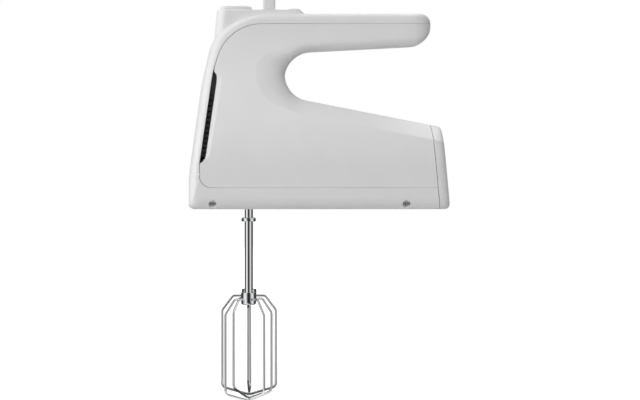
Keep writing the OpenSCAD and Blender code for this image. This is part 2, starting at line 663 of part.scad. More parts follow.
module capacitor() color("royalblue") placed()
    translate([board_x0 + 1, -cap_size.y / 2, board_z - cap_size.z]) cube(cap_size);

// ---- Gear case ----
shaft_top = 58;
floor_z = 22;
floor_t = 3;
front_post_x = 15;
post_l = 6;
case_w = 72;
rear_wall_x = 70;
rear_wall_t = 6;
cover_z = 50;
cover_t = 3;
bush_od = 13;
bush_low = 13;
bush_l = 12;
bush_top_z = 46;
bush_top_l = 11;
bearing_d = 16;
tip_bush_d = 10;
bearing_l = 5;
leg_x = [22, 68];
leg_y = 30;
worm_x = spindle_x;
worm_r = spindle_spacing / 2 - gear_module * wheel_teeth / 2;
stator_z = stator_w / 2 - 6;
module along_x(x) translate([x, 0, motor_h]) rotate([0, 90, 0]) rotate(90) children();
module at_tie_rods() for (s = [-1, 1]) translate([0, s * stator_z, s * stator_z]) children();
tie_d = 4;
module gear_case() color("ivory") placed() difference() {
    union() {
        translate([front_post_x, -case_w / 2 + 8, floor_z]) cube([rear_wall_x + rear_wall_t - front_post_x, case_w - 16, floor_t]);
        at_spindles() translate([0, 0, bush_low]) cylinder(h = floor_z - bush_low + 1, d = bush_od + 5, $fn = 48);
        at_spindles() translate([0, 0, floor_z]) cylinder(h = floor_t, d = bush_od + 12, $fn = 48);
        translate([front_post_x, -9, floor_z]) cube([post_l, 18, cover_z - floor_z]);
        translate([rear_wall_x, -28, floor_z]) cube([rear_wall_t, 56, 38]);
        for (x = leg_x, s = [-1, 1]) translate([x, s * leg_y, wall + 0.1])
            cylinder(h = floor_z + 1 - wall, d = 7, $fn = 32);
        for (x = leg_x, s = [-1, 1]) translate([x - 5, s * leg_y - 5, floor_z]) cube([10, 10, floor_t]);
        translate([0, 0, motor_h]) at_tie_rods() translate([rear_wall_x + 1, 0, 0]) rotate([0, 90, 0])
            cylinder(h = stator_x - rear_wall_x - 1, d = 8.5, $fn = 32);
    }
    at_spindles() translate([0, 0, bush_low - 1]) cylinder(h = 30, d = bush_od, $fn = 48);
    along_x(front_post_x - 1) cylinder(h = post_l + 2, d = tip_bush_d, $fn = 48);
    along_x(rear_wall_x - 1) cylinder(h = rear_wall_t + 2, d = bearing_d, $fn = 48);
    translate([0, 0, motor_h]) at_tie_rods() translate([rear_wall_x - 1, 0, 0]) rotate([0, 90, 0])
        cylinder(h = stator_x, d = tie_d, $fn = 32);
}
module gear_cover() color("ivory") placed() difference() {
    union() {
        translate([front_post_x, -9, cover_z]) cube([rear_wall_x - 0.2 - front_post_x, 18, cover_t]);
        translate([spindle_x - 9, -spindle_spacing / 2, cover_z]) cube([18, spindle_spacing, cover_t]);
        at_spindles() translate([0, 0, bush_top_z]) cylinder(h = bush_top_l - 1, d = bush_od + 5, $fn = 48);
    }
    at_spindles() translate([0, 0, bush_top_z - 1]) cylinder(h = 30, d = bush_od, $fn = 48);
}
module ring(d1, d0, h) difference() {
    cylinder(h = h, d = d1, $fn = 48);
    translate([0, 0, -1]) cylinder(h = h + 2, d = d0, $fn = 48);
}
module spindle_bushes() color("goldenrod") placed() at_spindles() {
    translate([0, 0, bush_low]) ring(bush_od, spindle_d + 2 * run_gap, bush_l);
    translate([0, 0, bush_top_z]) ring(bush_od, spindle_d + 2 * run_gap, bush_top_l - 1);
}
module tip_bush() color("goldenrod") placed() along_x(front_post_x)
    ring(tip_bush_d, rotor_d + 2 * run_gap, post_l);
module bearing() rotate_extrude($fn = 48) difference() {
    translate([rotor_d / 2 + run_gap, 0]) square([bearing_d / 2 - rotor_d / 2 - run_gap, bearing_l]);
    for (z = [-eps, bearing_l - 0.6]) translate([rotor_d / 2 + 2, z]) square([2, 0.6 + eps]);
}
module front_bearing() color("silver") placed() along_x(rear_wall_x + 0.5) bearing();

// ---- Motor ----
rotor_x0 = front_post_x + 0.5;
brush_x = stator_x + stator_l + 14;
bracket_t = 4;
rear_bearing_x = bracket_x + 1;
rotor_x1 = bracket_x + 8;
module rear_bearing() color("silver") placed() along_x(rear_bearing_x) bearing();
module rear_bracket() color("ivory") placed() difference() {
    union() {
        translate([bracket_x, -9, motor_h - 12]) cube([bracket_t, 18, 24]);
        for (s = [-1, 1]) hull() {
            along_x(bracket_x) translate([s * stator_z, s * stator_z, 0]) cylinder(h = bracket_t, d = 9, $fn = 32);
            along_x(bracket_x) cylinder(h = bracket_t, d = 14, $fn = 32);
        }
        along_x(bracket_x) cylinder(h = bearing_l + 2, d = bearing_d + 4, $fn = 48);
        translate([0, 0, motor_h]) at_tie_rods() translate([stator_x + stator_l, 0, 0]) rotate([0, 90, 0])
            cylinder(h = bracket_x - stator_x - stator_l + 1, d = 8.5, $fn = 32);
        for (s = [-1, 1]) translate([brush_x + 4, s * 17 - 4, motor_h - 4]) cube([bracket_x - brush_x - 3, 8, 8]);
        for (s = [-1, 1]) translate([bracket_x, s * 11 - 10, motor_h - 4]) cube([bracket_t, 20, 8]);
        translate([bracket_x + bracket_t - bracket_foot_l, -4, wall + 0.1])
            cube([bracket_foot_l, 8, motor_h - 12]);
    }
    along_x(bracket_x - 1) cylinder(h = 30, d = bearing_d, $fn = 48);
    translate([0, 0, motor_h]) at_tie_rods() translate([stator_x, 0, 0]) rotate([0, 90, 0])
        cylinder(h = bracket_x + bracket_t + 1 - stator_x, d = tie_d, $fn = 32);
}
module motor_screws() color("silver") placed() translate([0, 0, motor_h]) at_tie_rods()
    rotate([0, 90, 0]) {
        translate([0, 0, rear_wall_x + 1]) cylinder(h = bracket_x + bracket_t - rear_wall_x - 1, d = tie_d - 0.2, $fn = 32);
        translate([0, 0, bracket_x + bracket_t]) cylinder(h = 2.6, d = 7, $fn = 32);
    }
air_gap = 0.5;
window_r0 = 15.5;
window_r1 = 20.5;
module sector(r0, r1, a0, a1) difference() {
    circle(r1, $fn = 64);
    circle(r0, $fn = 64);
    for (a = [a0 - 90, a1 + 90]) rotate(a) translate([0, 0]) half_plane();
    for (a = [a0 - 180, a1 + 180]) if (a1 - a0 < 90) rotate(a) half_plane();
}
module half_plane() translate([0, -60]) square([60, 120]);
module stator_core() color("slategray") placed() along_x(stator_x) difference() {
    linear_extrude(stator_l) difference() {
        intersection() {
            square([stator_w, stator_w], center = true);
            rotate(45) square([stator_w * 1.27, stator_w * 1.27], center = true);
        }
        circle(d = armature_d + 2 * air_gap, $fn = 64);
        for (a = [0, 180]) rotate(a) sector(armature_d / 2 - 1, window_r1 + 0.5, -36, 36);
    }
    for (s = [-1, 1]) translate([s * stator_z, s * stator_z, -1]) cylinder(h = stator_l + 2, d = tie_d + 0.2, $fn = 32);
}
coil_over = 5.5;
module field_coils() color("chocolate") placed() for (a = [0, 180]) along_x(0) rotate(a) {
    for (x = [stator_x - coil_over, stator_x + stator_l + 0.3])
        translate([0, 0, x]) linear_extrude(coil_over - 0.3) sector(window_r0, window_r1, 4, 176);
    for (b = [4, 150]) translate([0, 0, stator_x - 1]) linear_extrude(stator_l + 2)
        sector(window_r0, window_r1, b, b + 26);
}
commutator_d = 18;
commutator_l = 12;
holder_w = 8;
brush_w = 5;
module brush_holders() color("goldenrod") placed() for (s = [-1, 1])
    translate([brush_x - holder_w / 2, s * 19 - 8, motor_h - holder_w / 2]) difference() {
        cube([holder_w, 16, holder_w]);
        translate([(holder_w - brush_w) / 2, -1, (holder_w - brush_w) / 2]) cube([brush_w, 18, brush_w]);
    }
module brushes() color("dimgray") placed() for (s = [-1, 1])
    translate([brush_x - brush_w / 2 + 0.05, s * (commutator_d / 2 + 6.2) - 6, motor_h - brush_w / 2 + 0.05])
        cube([brush_w - 0.1, 12, brush_w - 0.1]);
module rotor_shaft() color("silver") placed() along_x(rotor_x0) cylinder(h = rotor_x1 - rotor_x0, d = rotor_d, $fn = 48);
fan_x = rear_wall_x + rear_wall_t + 3;
fan_l = 10;
module fan() color("white") placed() along_x(fan_x) difference() {
    union() {
        cylinder(h = 1.4, d = fan_d, $fn = 64);
        cylinder(h = fan_l, d = 12, $fn = 48);
        for (k = [0 : fan_blades - 1]) rotate(360 * k / fan_blades) translate([5, -0.7, 0])
            rotate(12) cube([fan_d / 2 - 7, 1.4, fan_l - 1]);
    }
    translate([0, 0, -1]) cylinder(h = fan_l + 2, d = rotor_d, $fn = 48);
}
slot_r = armature_d / 2 - 4;
module slot_ring(d) for (k = [0 : armature_slots - 1]) rotate(360 * k / armature_slots)
    translate([slot_r, 0]) circle(d = d, $fn = 24);
module armature_core() color("slategray") placed() along_x(stator_x) linear_extrude(stator_l) difference() {
    circle(d = armature_d, $fn = 64);
    circle(d = rotor_d, $fn = 48);
    slot_ring(4.2);
    for (k = [0 : armature_slots - 1]) rotate(360 * k / armature_slots)
        translate([slot_r, -0.7]) square([6, 1.4]);
}
module armature_windings() color("chocolate") placed() along_x(stator_x) {
    translate([0, 0, -0.5]) linear_extrude(stator_l + 1) slot_ring(4);
    for (z = [-4.4, stator_l + 0.4]) translate([0, 0, z]) rotate_extrude($fn = 64)
        translate([rotor_d / 2 + 1.2, 0]) square([slot_r + 1.2 - rotor_d / 2, 4]);
}
module commutator() color("peru") placed() along_x(brush_x - commutator_l / 2) difference() {
    cylinder(h = commutator_l, d = commutator_d, $fn = 64);
    translate([0, 0, -1]) cylinder(h = commutator_l + 2, d = rotor_d, $fn = 48);
    for (k = [0 : armature_slots - 1]) rotate(360 * k / armature_slots)
        translate([commutator_d / 2 - 1, -0.3, -1]) cube([2, 0.6, commutator_l + 2]);
}

// ---- Worm drive ----
axial_pitch = PI * gear_module;
worm_lead = axial_pitch * worm_starts;
wheel_r = gear_module * wheel_teeth / 2;
// Shares of one pitch: the thread's base, and half a tooth at its root and at its tip.
thread_share = 0.26;
thread_flank = 0.16;
tooth_root = 0.175;
tooth_tip = 0.045;
addendum = 0.7 * gear_module;
dedendum = 1.1 * gear_module;
// Radius of the worm's section at angle a: thread flanks rise and fall once per start.
function thread_r(a) = let (k = abs(((a * worm_starts / 360) % 1) - 0.5) * 2,
    lift = min(max((k - 1 + thread_share + thread_flank) / (2 * thread_flank), 0), 1))
    worm_r - dedendum + (addendum + dedendum) * lift;
module worm() color("silver") placed() along_x(worm_x - worm_l / 2) difference() {
    rotate(-180 * worm_l / worm_lead) linear_extrude(worm_l, twist = -360 * worm_l / worm_lead, slices = ceil(worm_l / worm_lead * 14))
        polygon([for (a = [0 : 20 : 340]) thread_r(a) * [cos(a), sin(a)]]);
    translate([0, 0, -1]) cylinder(h = worm_l + 2, d = rotor_d, $fn = 48);
}
function tooth_ring(n, r0, r1, w0, w1) = [for (k = [0 : n - 1]) for (p = [[r0, -w0], [r1, -w1], [r1, w1], [r0, w0]])
    let (a = (360 * k + 360 * p[1]) / n) p[0] * [cos(a), sin(a)]];
module worm_wheel(side) color("ivory") placed()
    translate([spindle_x, side * spindle_spacing / 2, motor_h - wheel_t / 2]) difference() {
        twist = 360 * wheel_t * tan(atan(worm_lead / (2 * PI * worm_r))) / (2 * PI * wheel_r);
        rotate(-side * 90 + twist / 2 + 180 / wheel_teeth) linear_extrude(wheel_t, twist = twist, slices = 4)
            polygon(tooth_ring(wheel_teeth, wheel_r - dedendum, wheel_r + addendum, tooth_root, tooth_tip));
        translate([0, 0, -1]) cylinder(h = wheel_t + 2, d = spindle_d, $fn = 48);
    }
module worm_wheel_left() worm_wheel(-1);
module worm_wheel_right() worm_wheel(1);
spindle_foot = 1;
spindle_top = 60;
shaft_fit = 0.1;
module spindle(side) color("gray") placed() translate([spindle_x, side * spindle_spacing / 2, 0]) difference() {
    union() {
        translate([0, 0, spindle_foot]) cylinder(h = spindle_top - spindle_foot, d = spindle_d, $fn = 48);
        translate([0, 0, floor_z + floor_t + 0.3])
            cylinder(h = motor_h - wheel_t / 2 - floor_z - floor_t - 0.3, d = spindle_d + 4, $fn = 48);
        translate([0, 0, bush_top_z + bush_top_l - 0.7]) cylinder(h = 1.5, d = spindle_d + 3, $fn = 48);
    }
    translate([0, 0, -1]) cylinder(h = 80, r = shaft_d / 2 + shaft_fit, $fn = 48);
}
module spindle_left() spindle(-1);
module spindle_right() spindle(1);

// ---- Beaters ----
hub_top = -63.5;
hub_h = 9.4;
hub_d = 11.5;
wire_exit = -68.7;
knee_r = 12.5;
cage_top = -79.8;
cage_foot = -131;
tip_slope = 16.5;
tip_r = 12;
module at_beater(side) translate([spindle_x, side * spindle_spacing / 2, 0]) children();
module beater_shaft(side) color("silver") placed() at_beater(side) {
    translate([0, 0, hub_top - 1]) cylinder(h = shaft_top - hub_top + 1, d = shaft_d, $fn = 48);
    if (side < 0) translate([0, 0, -9.6]) {
        cylinder(h = 0.8, d1 = 9.6, d2 = 10.8, $fn = 48);
        translate([0, 0, 0.8]) cylinder(h = 2.2, d1 = 10.8, d2 = 9, $fn = 48);
    }
}
hub_r = 1.5;
wire_seat = 1.2;
module hub_form() rotate_extrude($fn = 64) difference() {
    union() {
        translate([0, hub_top - hub_h + hub_r]) square([hub_d / 2, hub_h - hub_r]);
        translate([0, hub_top - hub_h]) square([hub_d / 2 - hub_r, hub_h]);
        translate([hub_d / 2 - hub_r, hub_top - hub_h + hub_r]) intersection() {
            circle(hub_r, $fn = 32);
            translate([0, -2 * hub_r]) square(2 * hub_r);
        }
    }
    translate([-eps, hub_top - 1]) square([shaft_d / 2 + eps, 3]);
}
module beater_hub(side, turn) color("silver") placed() at_beater(side) difference() {
    hub_form();
    for (k = [0 : 3]) rotate(turn + 90 * k) translate([hub_d / 2 - wire_seat, 0, wire_exit])
        rotate([0, 90, 0]) cylinder(h = 2 * wire_seat, d = wire_d + 0.06, $fn = 24);
}
// Middle line of one wire loop, from hub to hub over the cage's foot, lifted by up.
function half_loop(up) = let (foot = wire_d / 2 - beater_drop + up - tip_r * (1 / cos(tip_slope) - 1),
        edge = [cage_r, foot + cage_r * tan(tip_slope)],
        tip = corner_arc(edge, [0, foot], [-edge.x, edge.y], tip_r, 4))
    concat([[hub_d / 2 - wire_seat, wire_exit]],
        corner_arc([0, wire_exit], [knee_r, wire_exit], [cage_r, cage_top], 3, 4),
        corner_arc([knee_r, wire_exit], [cage_r, cage_top], edge, 4, 4),
        corner_arc([cage_r, cage_top], edge, [0, foot], 4, 5),
        [for (i = [0 : 2]) tip[i]]);
function loop_path(up) = let (h = half_loop(up), n = len(h))
    concat([for (p = h) [p.x, 0, p.y]], [for (i = [n - 2 : -1 : 0]) [-h[i].x, 0, h[i].y]]);
module beater_wires(side, turn) color("silver") placed() at_beater(side)
    for (k = [0, 1]) rotate(turn + 90 * k) tube(loop_path(k * (wire_d + 0.1)), wire_d / 2, 8);
module beater_shaft_left() beater_shaft(-1);
module beater_shaft_right() beater_shaft(1);
module beater_hub_left() beater_hub(-1, left_turn);
module beater_hub_right() beater_hub(1, right_turn);
module beater_wires_left() beater_wires(-1, left_turn);
module beater_wires_right() beater_wires(1, right_turn);

// ---- Cord inlet ----
gland_d = 13.7;
gland_bore = 7.2;
module cord_gland() color("gray") placed() translate([body_l - 17, 0, cord_h]) rotate([0, 90, 0])
    rotate_extrude($fn = 48) {
        translate([gland_bore / 2, 0]) square([gland_d / 2 - gland_bore / 2, 13.2]);
        translate([gland_bore / 2, 6]) square([9.5 - gland_bore / 2, 4]);
    }
module cord_clamp() color("ivory") placed() difference() {
    translate([clamp_x - 4, -clamp_pitch / 2 - 4.5, cord_h - 4]) cube([8, clamp_pitch + 9, 10]);
    translate([clamp_x - 5, 0, cord_h]) rotate([0, 90, 0]) cylinder(h = 10, d = gland_bore, $fn = 32);
    for (s = [-1, 1]) translate([clamp_x, s * clamp_pitch / 2, 0]) cylinder(h = 60, d = 3, $fn = 24);
}

left_shell();
right_shell();
spine_cover();
base_shell();
rear_cap();
vent_grille_left();
vent_grille_right();
eject_button();
eject_rod();
eject_plate();
eject_spring();
rod_guide();
speed_slider();
slider_contact();
turbo_button();
turbo_spring();
speed_switch();
turbo_switch();
circuit_board();
capacitor();
gear_case();
gear_cover();
spindle_bushes();
tip_bush();
front_bearing();
rear_bearing();
rear_bracket();
motor_screws();
stator_core();
field_coils();
brush_holders();
brushes();
rotor_shaft();
worm();
fan();
armature_core();
armature_windings();
commutator();
worm_wheel_left();
worm_wheel_right();
spindle_left();
spindle_right();
beater_shaft_left();
beater_hub_left();
beater_wires_left();
beater_shaft_right();
beater_hub_right();
beater_wires_right();
base_screws();
cord_gland();
cord_clamp();
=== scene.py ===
import json
import math
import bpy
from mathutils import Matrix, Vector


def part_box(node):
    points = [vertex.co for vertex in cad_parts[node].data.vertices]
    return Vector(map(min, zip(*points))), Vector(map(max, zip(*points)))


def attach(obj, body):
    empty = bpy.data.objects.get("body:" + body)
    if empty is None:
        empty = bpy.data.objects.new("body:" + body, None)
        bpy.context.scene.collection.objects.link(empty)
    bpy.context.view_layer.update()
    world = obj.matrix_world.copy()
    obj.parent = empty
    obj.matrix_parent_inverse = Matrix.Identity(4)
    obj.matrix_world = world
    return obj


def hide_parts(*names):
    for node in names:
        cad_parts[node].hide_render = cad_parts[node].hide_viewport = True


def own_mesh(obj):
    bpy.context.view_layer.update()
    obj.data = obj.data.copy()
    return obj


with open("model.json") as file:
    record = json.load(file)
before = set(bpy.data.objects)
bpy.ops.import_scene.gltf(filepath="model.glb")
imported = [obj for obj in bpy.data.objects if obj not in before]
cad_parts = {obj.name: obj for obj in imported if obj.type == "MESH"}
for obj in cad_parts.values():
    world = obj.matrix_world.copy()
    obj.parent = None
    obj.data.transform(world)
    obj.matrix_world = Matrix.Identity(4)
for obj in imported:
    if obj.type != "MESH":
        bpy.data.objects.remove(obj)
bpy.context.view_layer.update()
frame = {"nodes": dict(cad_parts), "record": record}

from types import SimpleNamespace

import bmesh
import bpy
import numpy as np
from mathutils import Matrix, Vector
from mathutils.bvhtree import BVHTree

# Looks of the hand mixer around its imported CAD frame.
# Sizes are millimetres in the mixer's own axes: x from the body's front edge to its rear,
# y across (the left side is negative), z up from the body's underside. place() turns them
# into the frame's metres.

scene = bpy.context.scene
MM = 0.001
FRONT_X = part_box("base_shell")[0].x
UNDERSIDE_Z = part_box("base_shell")[0].z


def place(points):
    """Points in the mixer's own millimetres, in the frame's metres."""
    return np.asarray(points, float) * MM + (FRONT_X, 0.0, UNDERSIDE_Z)


def span(node):
    """Lowest and highest corner of a CAD node in the mixer's own millimetres."""
    low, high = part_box(node)
    origin = Vector((FRONT_X, 0, UNDERSIDE_Z))
    return (low - origin) / MM, (high - origin) / MM


# ---- Driving sizes of the housing: _H is a height, _L a length, _T a thickness, _R a radius ----
REAR_LEAN = math.tan(math.radians(5.2))
BODY_L = 197.0
HALF_BODY = span("base_shell")[1].y
REAR_H = 62.0
WALL = 2.2
SEAM, STRIP_SEAM = 0.3, 0.5
BASE_H = 16.0
CAP_L = 8.5
HEAD_H = 152.0
HANDLE_TOP = HEAD_H - 3.0
HALF_HANDLE = 18.5
HANDLE_T = 23.2
SEAM_H = HANDLE_TOP - 8.0
HANDLE_END = BODY_L - 12.4
GAP_X = 72.6
GAP_R = 20.5
GAP_TOP = HANDLE_TOP - HANDLE_T - 5.8
GAP_LOW = GAP_TOP - 34.3
GAP_CENTRE = np.array([GAP_X + GAP_R + 0.7, (GAP_TOP + GAP_LOW) / 2 - 3])
END_R = SEAM_H - HANDLE_TOP + HANDLE_T
VENT_W = 3.7
VENT_SLATS = 20
VENT_TOP = np.array([17.9, HANDLE_TOP - 44.5])
VENT_FOOT = np.array([8.3, 34.0])
VENT_SQUARE = 12
STRIP_H = 26.3
REAR_SEAM_X = BODY_L - CAP_L - REAR_LEAN * BASE_H
SEAM_FRONT_X = 29.3
SEAM_RADII = (35, 60, 9)
TAPER_FOOT = 30
HANDLE_END_DROP, REAR_DROP, REAR_SQUARE = 0.7, 0.24, 2.6
CREASE_R = 0.9
CHAMFER_W, CHAMFER_T = 4.0, 1.3

# Corners of the outline seen from the left: x, z, radius, from the lower front corner on.
CORNERS = [
    (0, 0, 2.5), (0, 25, 60), (9.2, HANDLE_TOP - 54, 100), (17.8, HANDLE_TOP - 15, 34),
    (46, HANDLE_TOP, 60), (HANDLE_END, HANDLE_TOP, HANDLE_TOP - SEAM_H),
    (HANDLE_END, HANDLE_TOP - HANDLE_T, END_R), (GAP_X, GAP_TOP, GAP_R + 0.5),
    (GAP_X, GAP_LOW, GAP_R), (BODY_L - REAR_LEAN * REAR_H, REAR_H, 3.5), (BODY_L, 0, 4)]
ARC_STEPS = 20


def unit(v):
    return v / np.linalg.norm(v)


def cross2(a, b):
    return a[..., 0] * b[..., 1] - a[..., 1] * b[..., 0]


def quad(a, b, c, k):
    """Point at k on the curve from a to c whose ends aim at b."""
    return a * (1 - k) ** 2 + b * 2 * k * (1 - k) + c * k * k


def corner_arc(before, corner, after, r, steps):
    """Points on a true arc of radius r that rounds a corner of a polygon."""
    before, corner, after = (np.asarray(p, float) for p in (before, corner, after))
    a, b = unit(before - corner), unit(after - corner)
    half = math.acos(float(a @ b)) / 2
    reach, weight = r / math.tan(half), math.sin(half)
    k = np.linspace(0, 1, steps + 1)[:, None]
    f0, f1, f2 = (1 - k) ** 2, 2 * weight * k * (1 - k), k * k
    return ((corner + a * reach) * f0 + corner * f1 + (corner + b * reach) * f2) / (f0 + f1 + f2)


def outline(t):
    """The body's outline moved inwards by t, with its corners rounded."""
    n, inset = len(CORNERS), []
    for i, (x, z, r) in enumerate(CORNERS):
        p, c, q = (np.array(CORNERS[j % n][:2], float) for j in (i - 1, i, i + 1))
        a, b = unit(p - c), unit(q - c)
        half = math.acos(float(a @ b)) / 2
        convex = cross2(c - p, q - c) < 0
        inset.append((c + unit(a + b) * (t if convex else -t) / math.sin(half),
                      max(r - t, 0.3) if convex else r + t))
    return np.concatenate([
        corner_arc(inset[i - 1][0], inset[i][0], inset[(i + 1) % n][0], inset[i][1], ARC_STEPS)
        for i in range(n)])


def hit(origin, direction, line):
    """Distance from origin along direction to the nearest edge of a closed outline."""
    edge = np.roll(line, -1, axis=0) - line
    den = cross2(direction, edge)
    den = np.where(np.abs(den) < 1e-9, np.nan, den)
    t = cross2(line - origin, edge) / den
    s = cross2(line - origin, direction) / den
    return float(np.nanmin(np.where((s >= -1e-6) & (s <= 1 + 1e-6) & (t > 1e-4), t, np.nan)))


# ---- The skin between seam line, outline and finger gap ----
def curl(k, n=2.0):
    """Rounding from 1 at an edge to 0 inside it: a quarter circle, or squarer where n is more."""
    k = np.clip(k, 0, 1)
    return 1 - (1 - (1 - k) ** n) ** (1 / n)


def half_width(z):
    """Half width of the body at height z, which narrows smoothly up to the handle."""
    k = np.clip((z - TAPER_FOOT) / (SEAM_H - 1 - TAPER_FOOT), 0, 1)
    return HALF_BODY - (HALF_BODY - HALF_HANDLE) * k * k * (3 - 2 * k)


def table_of(*pairs):
    """A trait of the skin by the tag u, from pairs of tag and value."""
    us, values = zip(*pairs)
    return lambda u: float(np.interp(u, us, values))


# The tag u runs along the seam line: 0 at the handle's rear end, 1 at its front, 2 and 3 at the
# vent's top and foot, 4 at the base, 5 under the finger gap, 6 at the rear cap.
out_reach = table_of((0, 7.4), (1, 7.4), (2, 8.2), (3, 8), (4, 9), (6, 9))
out_depth = table_of((0, 9), (1, 9), (2, 11), (3, 15), (3.6, 10), (4, 5), (6, 5))
in_reach = table_of((0, 8), (1, 9), (1.6, 20), (1.9, 23.5), (2.4, 20), (3, 15.5), (4, 12.5),
                    (5, 11.5), (6, 11.5))
in_depth = table_of((0, 8), (1, 9), (1.6, 13), (3, 17), (4, 17), (5, 16), (6, 16))
in_bevel = table_of((0, 0), (2, 0), (3, 0.3), (4, 0.5), (5, 0.6), (6, 0.6))
out_square = table_of((0, 4.0), (1, 4.0), (2, 2.0))
in_square = table_of((0, 3.0), (1, 3.0), (1.6, 2.0))
seam_width = table_of((0, 0.1), (0.8, 0.12), (1.3, 0.3), (3.6, 0.3), (4.2, 0.08), (6, 0.08))


def in_curl(u, di, reach):
    """Rounding towards the gap: part circle, part straight bevel with a softened crease."""
    rise = reach - di
    ramp = np.where(rise > CREASE_R, rise,
                    np.where(rise < -CREASE_R, 0, (rise + CREASE_R) ** 2 / (4 * CREASE_R)))
    return in_bevel(u) * ramp / reach + (1 - in_bevel(u)) * curl(di / reach, in_square(u))


def end_factor(x, z, t):
    """How much of the width is left near the handle's end and the body's rear."""
    at_handle = 1 - HANDLE_END_DROP * curl((HANDLE_END - t - x) / (END_R - t))
    rear = BODY_L - t - REAR_LEAN * z
    at_rear = 1 - REAR_DROP * curl((rear - x) / (CAP_L - t), REAR_SQUARE)
    return np.where(z > GAP_CENTRE[1], at_handle, at_rear)


def skin_y(p, u, do, di, t):
    """Half width of the skin at points p, do from the outline and di from the gap."""
    w = half_width(p[:, 1])
    return ((w - t) * end_factor(p[:, 0], p[:, 1], t)
            * (1 - out_depth(u) / w * curl(do / max(out_reach(u) - t, 1), out_square(u)))
            * (1 - in_depth(u) / w * in_curl(u, di, max(in_reach(u) - t, 1))))


def slot(z):
    """Opening of the vent beside the seam line at height z."""
    k = (z - VENT_FOOT[1]) / (VENT_TOP[1] - VENT_FOOT[1])
    return 0.0 if k <= 0 or k >= 1 else VENT_W * (1 - abs(2 * k - 1) ** VENT_SQUARE) ** 0.5


def lean_up(x):
    """The way up the body: upright as far back as the gap's centre, then leaning to the rear's."""
    f = (x - GAP_CENTRE[0]) / (REAR_SEAM_X - GAP_CENTRE[0])
    return unit(np.array([-REAR_LEAN * max(f, 0), 1]))


def stations(t):
    """Points of the seam line from the handle's rear end round to the rear seam, with tag u."""
    seam_a, seam_b = np.array([HANDLE_END, SEAM_H]), np.array([SEAM_FRONT_X, SEAM_H])
    seam_e, seam_f = np.array([VENT_FOOT[0], BASE_H]), np.array([REAR_SEAM_X, BASE_H])
    arc_b = corner_arc(seam_a, seam_b, VENT_TOP, SEAM_RADII[0], 24)
    arc_c = corner_arc(seam_b, VENT_TOP, VENT_FOOT, SEAM_RADII[1], 4)
    arc_e = corner_arc(VENT_FOOT, seam_e, seam_f, SEAM_RADII[2], 12)
    under_gap = np.array([GAP_CENTRE[0], BASE_H])
    strip_top = VENT_FOOT + (0, STRIP_H - VENT_FOOT[1])
    angles = np.radians(np.arange(86, 8, -4.0))
    end = [(HANDLE_END - t - (END_R - t) * (1 - math.sin(a)), SEAM_H) for a in angles]
    rows = []

    def add(points, u0, u1):
        n = len(points)
        rows.extend((p[0], p[1], u0 + (u1 - u0) * i / max(n - 1, 1)) for i, p in enumerate(points))

    def between(a, b, n):
        return [a + (b - a) * i / n for i in range(1, n)]

    add(end, 0, 0.3)
    add(between(np.array([HANDLE_END - END_R, SEAM_H]), arc_b[0], 24), 0.35, 1)
    add(arc_b, 1, 1.9)
    add(arc_c, 1.95, 2)
    add(between(arc_c[-1], VENT_FOOT, 36), 2.02, 2.98)
    add([VENT_FOOT], 3, 3)
    add([(VENT_FOOT + strip_top) / 2, strip_top], 3.05, 3.1)
    strip_row = len(rows)
    add([(VENT_FOOT[0], STRIP_H - STRIP_SEAM)], 3.2, 3.2)
    add(arc_e, 3.3, 4)
    add(between(arc_e[-1], under_gap, 28), 4.03, 4.97)
    add(between(under_gap - (1.5, 0), seam_f, 24), 5, 5.95)
    add([seam_f], 6, 6)
    return rows, strip_row


def station(p, u, out, line):
    """Where one line across the skin runs: seam point, slot edge, outline and gap."""
    opening = slot(p[1]) if 1.9 < u < 3 else 0.0
    near = p - out * (seam_width(u) + opening)
    if p[0] < GAP_CENTRE[0]:
        inwards = unit(GAP_CENTRE - near)
    else:
        inwards = lean_up(p[0]) if u > 2 else np.array([0.0, -1.0])
    return SimpleNamespace(p=p, u=u, open=opening, near=near, outer=p + out * hit(p, out, line),
                           inner=near + inwards * hit(near, inwards, line))


def skin_stations(t):
    """The stations of the skin moved inwards by t, and which of them starts the base."""
    rows, strip_row = stations(t)
    line, made = outline(t), []
    for i, (x, z, u) in enumerate(rows):
        if u < 1:
            out = np.array([0.0, 1.0])
        elif u > 4:
            out = -lean_up(x)
        else:
            a, b = rows[i - 1], rows[i + 1]
            d = unit(np.array([b[0] - a[0], b[1] - a[1]]))
            out = np.array([d[1], -d[0]])
        made.append(station(np.array([x, z]), u, out, line))
    return made, strip_row


ROUND = np.radians(np.linspace(0, 90, 15))


def with_y(p, y):
    """Points of the middle plane given a width coordinate."""
    return np.column_stack([p[:, 0], y, p[:, 1]])


def outer_half(f, t):
    """Half of a band from the middle of the outline's face to the seam line."""
    length = np.linalg.norm(f.p - f.outer)
    r = min(out_reach(f.u) - t, length * 0.92)
    d = np.concatenate([r * (1 - np.cos(ROUND)), [(r + length) / 2, length]])
    p = f.outer + np.outer(d / length, f.p - f.outer)
    far = np.linalg.norm(f.inner - f.near)
    half = with_y(p, skin_y(p, f.u, d * (out_reach(f.u) - t) / r, far + length - d, t))
    return np.concatenate([half[:1] * (1, 0, 1), half[:1] * (1, 0.5, 1), half])


